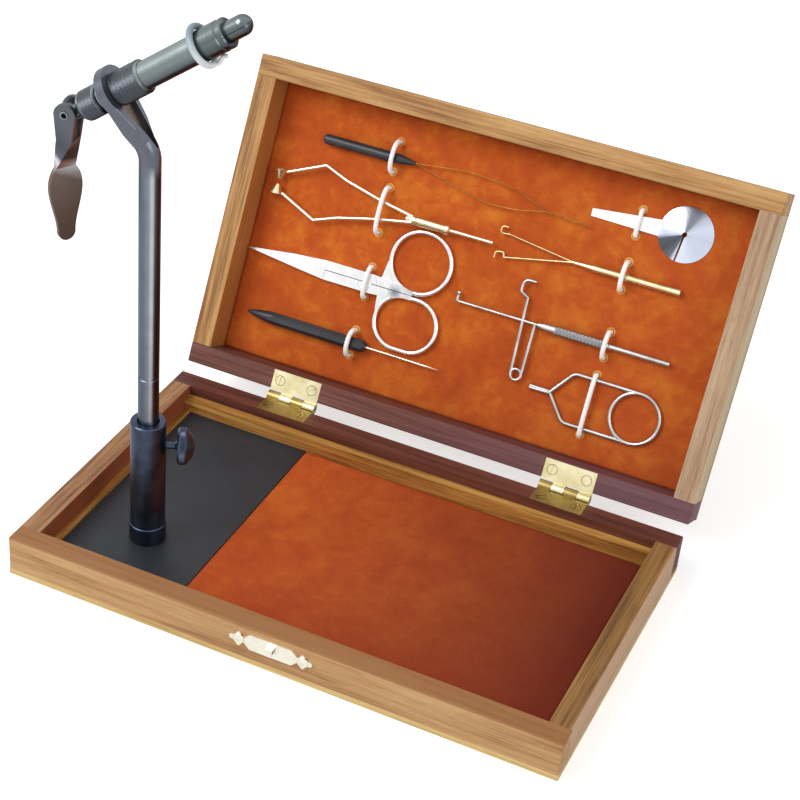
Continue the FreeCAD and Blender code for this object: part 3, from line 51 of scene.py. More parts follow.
HINGE = Vector((0, 0.0804, 0.02))
LID_TILT = math.radians(63.8)
HEAD_AZIMUTH = math.radians(8)
HEAD_TILT = math.radians(36)
POST = Vector((-0.086, -0.032, 0))
HEAD_ROTATION = Matrix.Rotation(HEAD_AZIMUTH, 4, "Z") @ Matrix.Rotation(-HEAD_TILT, 4, "Y")
EYE_ROOT = POST + Vector((0, 0, 0.2005))
NECK_LENGTH = 0.0272
HEAD = Matrix.Translation(EYE_ROOT) @ HEAD_ROTATION @ Matrix.Translation((0, 0, NECK_LENGTH))
LID = Matrix.Translation(HINGE) @ Matrix.Rotation(LID_TILT, 4, "X")
THUMB_CENTRE = POST + Vector((0, 0, 0.0586))
THUMB_AZIMUTH = math.radians(26)
THUMB = Matrix.Translation(THUMB_CENTRE) @ Matrix.Rotation(THUMB_AZIMUTH, 4, "Z")
# The lining's face along the lid frame's Z, and the lid's start along its Y.
LINING = -0.0158
HINGE_OFFSET = 0.0034
BOX_WIDTH, BOX_DEPTH, BOARD = 0.260, 0.154, 0.010
LID_LENGTH = BOX_WIDTH - 2 * BOARD
LID_ROOM = BOX_DEPTH - 2 * BOARD
LID_BACK = HINGE_OFFSET + BOARD
# Where each tool lies, as a share of the lid's room from its back board.
ROWS = {"threader": 0.8388, "bobbin": 0.6463, "scissors": 0.3836, "bodkin": 0.1575,
        "guard": 0.8522, "twister": 0.6582, "whip": 0.4149, "pliers": 0.2}


def srgb(red, green, blue):
    """Linear colour of a colour given in screen values from 0 to 255."""
    def part(value):
        value /= 255
        return value / 12.92 if value <= 0.04045 else ((value + 0.055) / 1.055) ** 2.4
    return (part(red), part(green), part(blue), 1)


# ---------------------------------------------------------------- material building

# Noise cells per metre along and across the fibres of a board, and each layer's weight in its tone.
WOOD_FIGURE, FIGURE_WEIGHT = (6, 75), 0.30
WOOD_STREAK, STREAK_WEIGHT = (13, 430), 0.34
WOOD_FINE, FINE_WEIGHT = (26, 1500), 0.36
WOOD_PORES = (110, 2900)
# How far a board's pattern is moved for each step of its seed.
WOOD_SHIFT = (0.37, 0.21, 0.13)
# Noise cells per metre in suede and on metal.
SUEDE_CLOUDS, SUEDE_BRUSHED, SUEDE_NAP = 34, 150, 1700
METAL_CLOUD = 130
# Depth and strength of the bump that drawn lines leave on metal.
DRAWN_DEPTH, DRAWN_STRENGTH = 0.00004, 0.12


class Shade:
    """A Principled material with short calls for the nodes that feed it."""

    def __init__(self, name, **values):
        self.material = bpy.data.materials.new(name)
        self.material.use_nodes = True
        self.tree = self.material.node_tree
        self.shader = self.tree.nodes["Principled BSDF"]
        for key, value in values.items():
            self.shader.inputs[key.replace("_", " ")].default_value = value

    def node(self, kind, **fields):
        made = self.tree.nodes.new("ShaderNode" + kind)
        for key, value in fields.items():
            setattr(made, key, value)
        return made

    def join(self, source, target):
        self.tree.links.new(source, target)

    def place(self, frame_matrix=None, scale=(1, 1, 1)):
        """The object's own coordinates, taken into a frame and then scaled per axis."""
        vector = self.node("TexCoord").outputs["Object"]
        if frame_matrix is not None:
            turn = self.node("Mapping", vector_type="TEXTURE")
            turn.inputs["Location"].default_value = frame_matrix.to_translation()
            turn.inputs["Rotation"].default_value = frame_matrix.to_euler()
            self.join(vector, turn.inputs["Vector"])
            vector = turn.outputs["Vector"]
        stretch = self.node("Mapping")
        stretch.inputs["Scale"].default_value = scale
        self.join(vector, stretch.inputs["Vector"])
        return stretch.outputs["Vector"]

    def noise(self, vector, scale=1.0, detail=3.0, rough=0.55, distort=0.0):
        made = self.node("TexNoise")
        made.inputs["Scale"].default_value = scale
        made.inputs["Detail"].default_value = detail
        made.inputs["Roughness"].default_value = rough
        made.inputs["Distortion"].default_value = distort
        self.join(vector, made.inputs["Vector"])
        return made.outputs["Fac"]

    def ramp(self, value, *stops):
        made = self.node("ValToRGB")
        made.color_ramp.elements[0].position = stops[0][0]
        made.color_ramp.elements[0].color = stops[0][1]
        made.color_ramp.elements[1].position = stops[-1][0]
        made.color_ramp.elements[1].color = stops[-1][1]
        for place, colour in stops[1:-1]:
            made.color_ramp.elements.new(place).color = colour
        self.join(value, made.inputs["Fac"])
        return made.outputs["Color"]

    def level(self, value, low, high, to_low=0.0, to_high=1.0):
        made = self.node("MapRange")
        for key, number in zip(("From Min", "From Max", "To Min", "To Max"),
                               (low, high, to_low, to_high)):
            made.inputs[key].default_value = number
        self.join(value, made.inputs["Value"])
        return made.outputs["Result"]

    def mix(self, factor, first, second, blend="MIX"):
        made = self.node("Mix", data_type="RGBA", blend_type=blend)
        for socket, item in ((made.inputs[0], factor), (made.inputs[6], first),
                             (made.inputs[7], second)):
            if hasattr(item, "links"):
                self.join(item, socket)
            else:
                socket.default_value = item
        return made.outputs[2]

    def math(self, kind, first, second=0.0):
        made = self.node("Math", operation=kind)
        for socket, item in zip(made.inputs, (first, second)):
            if hasattr(item, "links"):
                self.join(item, socket)
            else:
                socket.default_value = item
        return made.outputs[0]

    def colour(self, socket):
        self.join(socket, self.shader.inputs["Base Color"])

    def roughness(self, socket):
        self.join(socket, self.shader.inputs["Roughness"])

    def bump(self, height, distance, strength=1.0):
        made = self.node("Bump")
        made.inputs["Distance"].default_value = distance
        made.inputs["Strength"].default_value = strength
        previous = self.shader.inputs["Normal"].links
        if previous:
            self.join(previous[0].from_socket, made.inputs["Normal"])
        self.join(height, made.inputs["Height"])
        self.join(made.outputs["Normal"], self.shader.inputs["Normal"])


def wood(name, dark, mid, light, grain, frame_matrix=None, contrast=1.0, seed=0.0, painted_light=()):
    """Oiled open-grained board; grain is 0, 1 or 2 for the axis that the fibres follow.
    The last argument paints light and shade onto faces or stretches of the board; each entry
    gives an axis, two places along it, a colour and how much of it the far side takes."""
    made = Shade(name, Roughness=0.5)
    made.shader.inputs["Specular IOR Level"].default_value = 0.35

    def along(fibre, across):
        scale = [across] * 3
        scale[grain] = fibre
        return scale

    moved = (frame_matrix or Matrix()) @ Matrix.Translation([seed * step for step in WOOD_SHIFT])
    figure = made.noise(made.place(moved, along(*WOOD_FIGURE)), detail=4, distort=0.7)
    streak = made.noise(made.place(moved, along(*WOOD_STREAK)), detail=5, rough=0.62, distort=0.25)
    fine = made.noise(made.place(moved, along(*WOOD_FINE)), detail=4, rough=0.7)
    pores = made.noise(made.place(moved, along(*WOOD_PORES)), detail=2)
    tone = made.math("ADD", made.math("MULTIPLY", figure, FIGURE_WEIGHT),
                     made.math("MULTIPLY", streak, STREAK_WEIGHT))
    tone = made.math("ADD", tone, made.math("MULTIPLY", fine, FINE_WEIGHT))
    spread = 0.105 / contrast
    body = made.ramp(tone, (0.5 - spread, dark), (0.5, mid), (0.5 + spread, light))
    pits = made.level(pores, 0.58, 0.68)
    lines = made.math("MULTIPLY", made.level(fine, 0.54, 0.66), made.level(streak, 0.42, 0.60))
    marks = made.math("MAXIMUM", made.math("MULTIPLY", pits, 0.38), made.math("MULTIPLY", lines, 0.55))
    # Painted light and shade, one entry after another.
    for axis, start, end, painted_tone, amount in painted_light:
        split = made.node("SeparateXYZ")
        made.join(made.place(frame_matrix), split.inputs[0])
        body = made.mix(made.level(split.outputs[axis], start, end, 0.0, amount), body, painted_tone)
    made.colour(made.mix(marks, body, dark))
    made.roughness(made.level(streak, 0.3, 0.7, 0.6, 0.42))
    made.bump(made.math("SUBTRACT", fine, made.math("MULTIPLY", pits, 0.6)), 0.00010, 0.5)
    return made.material


def suede(name, bright, mid, deep, frame_matrix, fades=()):
    """Napped suede, cloudy from brushing.  Each fade follows the light on the photo's suede: an axis,
    two places along it, the colour it turns to and how much of it the far side takes."""
    made = Shade(name, Roughness=0.95)
    made.shader.inputs["Specular IOR Level"].default_value = 0.12
    made.shader.inputs["Sheen Weight"].default_value = 0.2
    made.shader.inputs["Sheen Roughness"].default_value = 0.6
    made.shader.inputs["Sheen Tint"].default_value = mid
    clouds = made.noise(made.place(frame_matrix), SUEDE_CLOUDS, 5, 0.6, 0.5)
    brushed = made.noise(made.place(frame_matrix), SUEDE_BRUSHED, 5, 0.62, 0.3)
    nap = made.noise(made.place(frame_matrix), SUEDE_NAP, 3, 0.7)
    tone = made.math("ADD", made.math("MULTIPLY", clouds, 0.6), made.math("MULTIPLY", brushed, 0.4))
    body = made.ramp(tone, (0.20, deep), (0.49, mid), (0.78, bright))
    split = made.node("SeparateXYZ")
    made.join(made.place(frame_matrix), split.inputs[0])
    for axis, start, end, colour, amount in fades:
        body = made.mix(made.level(split.outputs[axis], start, end, 0.0, amount), body, colour)
    grain = made.level(nap, 0.3, 0.7, 0.86, 1.10)
    value = made.node("HueSaturation")
    made.join(grain, value.inputs["Value"])
    made.join(body, value.inputs["Color"])
    made.colour(value.outputs[0])
    made.bump(nap, 0.00016, 0.6)
    made.bump(brushed, 0.0003, 0.2)
    return made.material


def metal(name, low, high, rough, frame_matrix=None, lines=(1, 1, 1)):
    """Metal with faint drawn lines across a frame's axes and a mottled roughness."""
    made = Shade(name, Metallic=1.0)
    cloud = made.noise(made.place(frame_matrix), METAL_CLOUD, 4)
    drawn = made.noise(made.place(frame_matrix, lines), 1, 4, 0.6)
    body = made.ramp(cloud, (0.32, low), (0.68, high))
    made.colour(body)
    made.roughness(made.math("ADD", made.level(drawn, 0.3, 0.7, rough - 0.05, rough + 0.07),
                             made.level(cloud, 0.4, 0.7, 0.0, 0.05)))
    made.bump(drawn, DRAWN_DEPTH, DRAWN_STRENGTH)
    return made.material


def paint(name, low, high, rough, grain=900, depth=0.00006):
    """Moulded or painted skin with a fine texture."""
    made = Shade(name)
    cloud = made.noise(made.place(), 60, 4)
    fine = made.noise(made.place(), grain, 3)
    made.colour(made.ramp(cloud, (0.3, low), (0.7, high)))
    made.roughness(made.level(fine, 0.3, 0.7, rough - 0.06, rough + 0.08))
    made.bump(fine, depth, 0.4)
    return made.material


def fabric(name, low, high, pitch):
    """Covered elastic: a fine braid in bump over a pale yarn."""
    made = Shade(name, Roughness=0.8)
    made.shader.inputs["Specular IOR Level"].default_value = 0.2
    first = made.node("TexWave", wave_type="BANDS", bands_direction="DIAGONAL")
    first.inputs["Scale"].default_value = pitch
    first.inputs["Distortion"].default_value = 1.5
    made.join(made.place(), first.inputs["Vector"])
    made.colour(made.ramp(made.noise(made.place(), 700, 4), (0.3, low), (0.6, high)))
    made.bump(first.outputs["Fac"], 0.00010, 0.45)
    return made.material


# ---------------------------------------------------------------- the materials

gold = (srgb(120, 76, 36), srgb(180, 134, 80), srgb(206, 166, 108))
# Painted shade for the inner face of the lid's left board.
painted_side_shade = srgb(176, 108, 50)
lid_cross = wood("oak_lid_cross", *gold, 0, LID, 1.0, 1.0)
lid_left = wood("oak_lid_left", *gold, 1, LID, 1.1, 2.0, [(0, -0.1206, -0.1201, painted_side_shade, 0.75)])
# The lid's right board is painted paler on its outer face: painted light.
lid_right = wood("oak_lid_right", srgb(104, 78, 60), srgb(166, 134, 104), srgb(194, 166, 136),
                 1, LID, 1.0, 3.0, [(0, 0.1292, 0.1297, srgb(222, 206, 160), 0.4)])
# The base's front board is painted darker orange on its top face: painted shade.
base_front = wood("oak_base_front", srgb(122, 80, 46), srgb(180, 136, 88), srgb(202, 162, 112),
                  0, None, 1.0, 4.0, [(2, 0.0190, 0.0196, srgb(136, 84, 42), 0.75)])
# The base's left board is painted orange-brown on its inner face: painted shade.
base_left = wood("oak_base_left", srgb(88, 52, 32), srgb(156, 112, 74), srgb(190, 146, 100),
                 1, None, 1.0, 5.0, [(0, -0.1206, -0.1201, srgb(146, 70, 36), 0.8)])
# The base's right board is painted pale on its outer face: painted light.
base_right = wood("oak_base_right", srgb(92, 60, 28), srgb(142, 102, 54), srgb(166, 126, 72),
                  1, None, 1.1, 6.0, [(0, 0.1290, 0.1296, srgb(198, 160, 128), 0.8)])
walnut = (srgb(52, 24, 22), srgb(100, 54, 44), srgb(126, 80, 72))
# A purple-grey painted sheen across the lid's back board, stronger towards the right.
painted_sheen_purple = srgb(116, 84, 100)
walnut_lid = wood("walnut_lid", *walnut, 0, LID, 1.0, 7.0, [(0, -0.02, 0.09, painted_sheen_purple, 0.45)])
walnut_base = wood("walnut_base", srgb(58, 26, 22), srgb(98, 50, 38), srgb(122, 72, 54),
                   0, None, 1.0, 8.0)
rail_gold = (srgb(104, 60, 22), srgb(172, 118, 54), srgb(208, 158, 84))
rail_wood = wood("rail_wood", *rail_gold, 0, None, 1.2, 9.0)
strip_wood = wood("strip_wood", *rail_gold, 1, None, 1.2, 10.0)
panel_lid = wood("panel_lid", srgb(112, 70, 36), srgb(160, 112, 64), srgb(188, 142, 90),
                 0, LID, 0.9, 11.0)
panel_base = wood("panel_base", srgb(170, 134, 80), srgb(206, 176, 116), srgb(226, 200, 144),
                  0, None, 0.9, 12.0)
# Both sheets fade to darker red-brown as painted shade: the lid's towards its right and its back board, the
# base's towards its right and front.
lid_suede = suede("suede_lid", srgb(222, 138, 46), srgb(190, 88, 34), srgb(152, 56, 28), LID,
                  [(0, -0.02, 0.13, srgb(160, 70, 40), 0.30), (1, 0.05, 0.0, srgb(166, 72, 34), 0.25)])
base_suede = suede("suede_base", srgb(208, 112, 46), srgb(186, 84, 36), srgb(150, 58, 32), None,
                   [(0, -0.04, 0.11, srgb(100, 40, 28), 0.96), (1, 0.0, -0.075, srgb(132, 48, 32), 0.45)])
plate_paint = paint("plate_black", srgb(25, 29, 35), srgb(33, 37, 43), 0.5)
dark_steel = metal("gunmetal_dark", srgb(58, 66, 84), srgb(80, 90, 110), 0.32, None, (900, 900, 14))


def lever_finish():
    """Blued sheet toned by height: a brown thumb blade that lightens into a painted highlight at
    the twist, in place of a reflection, then grey cheeks, darker just above it."""
    made = Shade("gunmetal_lever", Metallic=1.0)
    cloud = made.noise(made.place(), 160, 4)
    split = made.node("SeparateXYZ")
    made.join(made.place(), split.inputs[0])
    height = made.math("ADD", split.outputs[2], made.math("MULTIPLY", split.outputs[0], 0.9))
    height = made.math("ADD", height, made.math("MULTIPLY", cloud, 0.003))
    low, high = 0.040, 0.110
    # Tones by height; the stop at 0.0800 is a painted highlight in place of a reflection.
    tones = ((0.040, srgb(96, 82, 76)), (0.056, srgb(112, 94, 84)), (0.074, srgb(128, 114, 106)),
             (0.0800, srgb(222, 224, 230)), (0.0835, srgb(96, 98, 108)), (0.090, srgb(84, 86, 94)),
             (0.100, srgb(100, 102, 110)))
    made.colour(made.ramp(made.level(height, low, high),
                          *[((place - low) / (high - low), tone) for place, tone in tones]))
    made.roughness(made.level(cloud, 0.3, 0.7, 0.34, 0.44))
    made.bump(made.noise(made.place(None, (700, 700, 40)), 1, 4), DRAWN_DEPTH, DRAWN_STRENGTH)
    return made.material


def polar(made, frame_matrix, first, second, along):
    """Angle about a frame's axis, and the place along it."""
    split = made.node("SeparateXYZ")
    made.join(made.place(frame_matrix), split.inputs[0])
    return made.math("ARCTAN2", split.outputs[first], split.outputs[second]), split.outputs[along]


def knurl_finish(name, low, high, rough, frame_matrix, teeth, pitch):
    """Diamond knurl: painted shade in the valleys, which cross between painted highlights on the points."""
    made = Shade(name, Metallic=1.0, Roughness=rough)
    angle, along = polar(made, frame_matrix, 1, 2, 0)
    turn = made.math("MULTIPLY", angle, teeth)
    run = made.math("MULTIPLY", along, 2 * math.pi / pitch)
    first = made.math("SINE", made.math("ADD", turn, run))
    second = made.math("SINE", made.math("SUBTRACT", turn, run))
    # The valleys take the low colour as painted shade, the points the high one as painted highlight.
    valley_shade = made.level(made.math("MINIMUM", first, second), -1, 0.6)
    made.colour(made.ramp(valley_shade, (0.25, low), (0.8, high)))
    return made.material


# The stem's painted shade above its socket: its two heights, and how much of it the lower takes.
SHADED_FROM, SHADED_TO, SHADED_SHARE = 0.062, 0.118, 0.42
# Length over which the stem's bands pass into the plain tone of its flattened neck.
FLAT_RUN = 0.006
FLAT_HEIGHT = 0.190


def round_steel(name, frame_matrix, tones, rough, lines, gain=1.0, flat=None):
    """Blued bar with painted light and dark bands, set by the angle about its axis: they imitate the
    photo's reflections and don't move with the view.  tones gives degrees from the frame's facing
    axis.  flat is for the upright bar: a height, and the colour above it."""
    made = Shade(name, Metallic=1.0)
    if flat is not None:
        angle, along = polar(made, frame_matrix, 1, 0, 2)
    else:
        angle, along = polar(made, frame_matrix, 2, 1, 0)
    stops = [(0.5 + degrees / 360, srgb(*[gain * tone for tone in colour]))
             for degrees, colour in tones]
    body = made.ramp(made.level(angle, -math.pi, math.pi), *stops)
    if flat is not None:
        height, colour = flat
        shaded = made.level(along, SHADED_FROM, SHADED_TO, SHADED_SHARE, 0.0)
        body = made.mix(shaded, body, srgb(62, 68, 82))
        body = made.mix(made.level(along, height, height + FLAT_RUN), body, colour)
    cloud = made.noise(made.place(frame_matrix), METAL_CLOUD, 4)
    drawn = made.noise(made.place(frame_matrix, lines), 1, 4, 0.6)
    value = made.node("HueSaturation")
    made.join(made.level(cloud, 0.3, 0.7, 0.92, 1.08), value.inputs["Value"])
    made.join(body, value.inputs["Color"])
    made.colour(value.outputs[0])
    made.roughness(made.level(drawn, 0.3, 0.7, rough - 0.04, rough + 0.05))
    made.bump(drawn, DRAWN_DEPTH, DRAWN_STRENGTH)
    return made.material


# The bands are placed by where the camera stands: this is its direction from the post, in plan.
TOWARDS_CAMERA = math.atan2(-0.916, 0.402)
UPRIGHT = Matrix.Translation(POST) @ Matrix.Rotation(TOWARDS_CAMERA, 4, "Z")
# Degrees from the facing axis and a screen colour, chosen one by one across the photo's stem and
# beside averages of three spots on it.
UPRIGHT_TONES = ((-175, (70, 74, 82)), (-88, (64, 68, 78)), (-62, (92, 100, 112)),
                 (-25, (104, 112, 124)), (2, (136, 144, 152)), (14, (190, 196, 202)),
                 (24, (186, 190, 196)), (34, (96, 92, 96)), (46, (60, 54, 58)), (78, (50, 46, 52)),
                 (90, (76, 76, 84)), (175, (70, 74, 82)))
upright = round_steel("gunmetal_post", UPRIGHT, UPRIGHT_TONES, 0.3, (900, 900, 14), 1.0,
                      (FLAT_HEIGHT, srgb(108, 111, 121)))
HEAD_FACE = HEAD @ Matrix.Rotation(math.pi, 4, "X")
# The same across the photo's barrel, beside the average of one spot.
HEAD_TONES = ((-175, (56, 58, 62)), (-108, (70, 76, 78)), (-86, (108, 116, 116)),
              (-50, (134, 144, 144)), (-10, (112, 121, 122)), (25, (90, 96, 100)),
              (52, (60, 60, 64)), (72, (44, 40, 44)), (110, (50, 48, 52)), (175, (56, 58, 62)))
along_head = round_steel("gunmetal_head", HEAD_FACE, HEAD_TONES, 0.3, (700, 60, 60), 1.14)
head_front = round_steel("gunmetal_front", HEAD_FACE, HEAD_TONES, 0.24, (700, 60, 60), 0.94)


def guard_finish(centre):
    """Lathe-turned disc with fine rings.  Its fan of light and dark is painted: stops gives a turn
    about the disc and a grey, chosen one by one beside the average of one spot of the photo."""
    made = Shade("turned_disc", Metallic=1.0, Roughness=0.22)
    frame_matrix = LID @ Matrix.Translation(centre)
    angle = polar(made, frame_matrix, 1, 0, 2)[0]
    stops = ((0.0, 246), (0.035, 236), (0.064, 112), (0.125, 92), (0.19, 118), (0.215, 240), (0.25, 247),
             (0.333, 236), (0.417, 222), (0.5, 214), (0.583, 226), (0.645, 204), (0.69, 142), (0.75, 126),
             (0.81, 148), (0.835, 238), (1.0, 246))
    fan = made.ramp(made.level(angle, -math.pi, math.pi),
                    *[(place, srgb(tone * 0.95, tone * 0.98, min(255, tone * 1.06)))
                      for place, tone in stops])
    ring = made.node("TexWave", wave_type="RINGS", rings_direction="Z")
    ring.inputs["Scale"].default_value = 900
    made.join(made.place(frame_matrix), ring.inputs["Vector"])
    split = made.node("SeparateXYZ")
    made.join(made.place(frame_matrix), split.inputs[0])
    disc = made.level(split.outputs[0], -0.0125, -0.0118)
    made.colour(made.mix(disc, srgb(250, 250, 250), fan))
    made.bump(ring.outputs["Fac"], 0.00002, 0.3)
    return made.material


def clip_finish():
    """Spring ring toned by height: bluish grey steel above, and below a whiter painted highlight where it
    hangs.
    """
    made = Shade("clip_ring", Roughness=0.4)
    split = made.node("SeparateXYZ")
    made.join(made.place(HEAD), split.inputs[0])
    cloud = made.math("MULTIPLY", made.noise(made.place(), 500, 3), 0.004)
    made.colour(made.ramp(made.level(made.math("ADD", split.outputs[2], cloud), -0.006, 0.009),
                          (0.0, srgb(228, 232, 234)), (0.4, srgb(206, 214, 218)), (1.0, srgb(132, 150, 160))))
    return made.material


# Half the width of the line between the blades, and how far past its start the shank is shaded.
CREASE_HALF = 0.00017
SHANK_AHEAD = 0.0375


def crease_finish(name, row_y, start, end):
    """Bright steel with the dark line where two halves meet, and a painted shade at the shank."""
    made = Shade(name, Metallic=1.0)
    split = made.node("SeparateXYZ")
    made.join(made.place(LID), split.inputs[0])
    aside = made.math("ABSOLUTE", made.math("SUBTRACT", split.outputs[1], row_y))
    near = made.math("LESS_THAN", aside, CREASE_HALF)
    after = made.math("GREATER_THAN", split.outputs[0], start)
    before = made.math("LESS_THAN", split.outputs[0], end)
    line = made.math("MULTIPLY", near, made.math("MULTIPLY", after, before))
    shank = made.node("VectorMath", operation="DISTANCE")
    made.join(made.place(LID), shank.inputs[0])
    shank.inputs[1].default_value = (start + SHANK_AHEAD, row_y - 0.0006, LINING + 0.002)
    shade = made.level(shank.outputs["Value"], 0.0012, 0.0042, 0.75, 0.0)
    cloud = made.noise(made.place(LID), METAL_CLOUD, 4)
    body = made.ramp(cloud, (0.32, srgb(238, 238, 239)), (0.68, srgb(251, 251, 251)))
    body = made.mix(shade, body, srgb(104, 112, 126))
    made.colour(made.mix(line, body, srgb(44, 42, 46)))
    made.roughness(made.level(cloud, 0.4, 0.7, 0.18, 0.26))
    return made.material


lever_steel = lever_finish()
head_knurl = knurl_finish("gunmetal_knurl", srgb(66, 70, 78), srgb(110, 114, 120), 0.36, HEAD, 64, 0.0011)
brass_pale = metal("brass_pale", srgb(216, 204, 150), srgb(240, 232, 194), 0.34, LID, (60, 900, 60))
brass_olive = metal("brass_olive", srgb(156, 136, 80), srgb(188, 168, 110), 0.36, None, (60, 900, 60))
brass_white = metal("brass_white", srgb(244, 241, 222), srgb(254, 252, 242), 0.34, None, (60, 60, 900))
brass_tool = metal("brass_tool", srgb(226, 212, 158), srgb(246, 238, 200), 0.24, LID, (900, 60, 60))
chrome = metal("bright_steel", srgb(236, 237, 238), srgb(250, 250, 250), 0.2, LID, (900, 80, 80))
wire_grey = metal("wire_grey", srgb(176, 174, 174), srgb(214, 212, 212), 0.24, LID, (900, 80, 80))
wire_cream = metal("wire_cream", srgb(236, 226, 196), srgb(250, 244, 222), 0.24, LID, (900, 80, 80))
wire_tan = metal("wire_tan", srgb(206, 176, 126), srgb(232, 206, 156), 0.26, LID, (900, 80, 80))
copper = metal("copper_wire", srgb(150, 96, 44), srgb(190, 134, 70), 0.3, LID, (900, 80, 80))
black = paint("black_handle", srgb(30, 32, 38), srgb(46, 49, 56), 0.38, 1400, 0.00003)
elastic = fabric("elastic_cover", srgb(252, 250, 244), srgb(255, 255, 255), 1500)
# Pale yellow rims round the loops' holes, mottled with dark brown.
hole_rim_suede = suede("suede_hole", srgb(244, 214, 130), srgb(222, 160, 80), srgb(60, 26, 16), LID)
clip_pale = clip_finish()
GUARD_SHARE = 0.3692
turned_disc = guard_finish(Vector((GUARD_SHARE * LID_LENGTH, LID_BACK + ROWS["guard"] * LID_ROOM, LINING)))
scissor_steel = crease_finish("scissor_steel", LID_BACK + ROWS["scissors"] * LID_ROOM, -0.0763, -0.0325)

FINISHES = {
    lid_cross: ["lid_front_board"], lid_left: ["lid_left_board"], lid_right: ["lid_right_board"],
    base_front: ["base_front_board"], base_left: ["base_left_board"], base_right: ["base_right_board"],
    walnut_lid: ["lid_back_board"], walnut_base: ["base_back_board"],
    rail_wood: ["base_front_rail", "base_back_rail"], strip_wood: ["base_left_strip", "base_right_strip"],
    panel_lid: ["lid_top_panel"], panel_base: ["base_bottom_panel", "base_lining_board"],
    lid_suede: ["lid_lining"], base_suede: ["base_lining"], plate_paint: ["vise_plate"],
    upright: ["vise_stem"], dark_steel: ["vise_boss", "vise_socket_tube", "vise_thumbscrew"],
    along_head: ["vise_barrel", "vise_front_collar", "vise_adjusting_nut", "vise_lever_pin"],
    head_front: ["vise_ferrule", "vise_jaws"],
    lever_steel: ["vise_cam_lever"],
    brass_pale: ["hinge_left_lid_leaf", "hinge_right_lid_leaf", "lid_hinge_screws"],
    brass_olive: ["hinge_left_base_leaf", "hinge_right_base_leaf", "hinge_pins", "base_hinge_screws"],
    brass_white: ["catch_plate", "catch_tacks"],
    brass_tool: ["bobbin_body", "bobbin_cups", "twister_handle"],
    chrome: ["scissors_screw"], scissor_steel: ["scissors_blade_a", "scissors_blade_b"],
    turned_disc: ["hackle_guard"],
    wire_cream: ["bobbin_frame", "bobbin_tube", "bodkin_needle"], wire_tan: ["twister_wires"],
    wire_grey: ["whip_finisher_rod", "whip_finisher_grip", "hackle_pliers"],
    copper: ["threader_wire"], black: ["threader_handle", "bodkin_handle"],
    elastic: ["elastic_loops"], clip_pale: ["vise_material_clip"],
}
for finish, names in FINISHES.items():
    for name in names:
        mesh = nodes[name].data
        mesh.materials.clear()
        mesh.materials.append(finish)


# ---------------------------------------------------------------- mesh building

def mesh_piece(name, mesh, material, body, frame_matrix=None, smooth=True):
    """Makes a mesh a piece of the scene that rides on a body."""
    mesh.materials.append(material)
    for face in mesh.polygons:
        face.use_smooth = smooth
    obj = bpy.data.objects.new(name, mesh)
    bpy.context.scene.collection.objects.link(obj)
    if frame_matrix is not None:
        mesh.transform(frame_matrix)
    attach(obj, body)
    return obj


def grid_mesh(name, rows, columns, point, closed=True):
    """Quads over rows by columns; point(i, j) gives each corner; closed joins the columns' ends."""
    mesh = bpy.data.meshes.new(name)
    corners = [point(i, j) for i in range(rows) for j in range(columns)]
    faces = []
    for i in range(rows - 1):
        for j in range(columns if closed else columns - 1):
            k = (j + 1) % columns
            faces.append((i * columns + j, i * columns + k, (i + 1) * columns + k, (i + 1) * columns + j))
    mesh.from_pydata(corners, [], faces)
    mesh.update()
    return mesh


def knurled_sleeve(name, frame_matrix, start, end, radius, depth, teeth, body, material, taper=0.0, tip=0.0):
    """Diamond-knurled sleeve about a frame's X axis: peaks and hollows take turns, and both ends
    dip below the part that carries it.  Over its first taper it swells from the tip's radius."""
    columns = 2 * teeth
    pitch = math.pi * radius / teeth
    rows = int((end - start) / pitch) + 1

    def point(i, j):
        rise = -0.3 if i in (0, rows - 1) else (i + j) % 2
        angle = 2 * math.pi * j / columns
        along = (end - start) * i / (rows - 1)
        core = tip + (radius - tip) * along / taper if along < taper else radius
        reach = core + depth * rise
        return (start + along, reach * math.cos(angle), reach * math.sin(angle))

    mesh = grid_mesh(name, rows, columns, point)
    return mesh_piece(name, mesh, material, body, frame_matrix, smooth=False)


# Each sleeve: frame, start, end, radius, depth, teeth.
knurled_sleeve("vise_collar_knurl", HEAD, 0.0040, 0.0166, 0.00684, 0.00010, 64, "stem", head_knurl)
knurled_sleeve("vise_nut_knurl", HEAD, -0.0132, -0.0056, 0.00629, 0.00010, 60, "nut", head_knurl)
knurled_sleeve("vise_thumb_knurl", THUMB, 0.0137, 0.0165, 0.00809, 0.0002, 72, "thumbscrew", dark_steel)
# The board and the whip finisher's row in ROWS, rounded.
WHIP_ROW = 0.0656
GRIP_RADIUS, GRIP_GAP = 0.00205, 0.00025
GRIP = LID @ Matrix.Translation((0, WHIP_ROW + HINGE_OFFSET, LINING + GRIP_GAP + GRIP_RADIUS))
grip_steel = knurl_finish("grip_knurl", srgb(126, 127, 132), srgb(224, 225, 228), 0.3, GRIP, 26, 0.0007)
grip = knurled_sleeve("whip_grip_knurl", GRIP, 0.0348, 0.0678, 0.00206, 0.00010, 26, "whip_grip", grip_steel,
                      0.0085, 0.00120)


# ---------------------------------------------------------------- screw heads

def clusters(points, gap):
    """Groups of points that lie within a gap of their group's first point, seen along Z."""
    groups = []
    for point in points:
        for group in groups:
            if (point - group[0]).xy.length < gap:
                group.append(point)
                break
        else:
            groups.append([point])
    return groups


# How far a screw's ring lies over its head, and how far it reaches in and out of the head's edge.
RING_LIFT, RING_INSIDE, RING_OUTSIDE = 0.00004, 0.00008, 0.00018


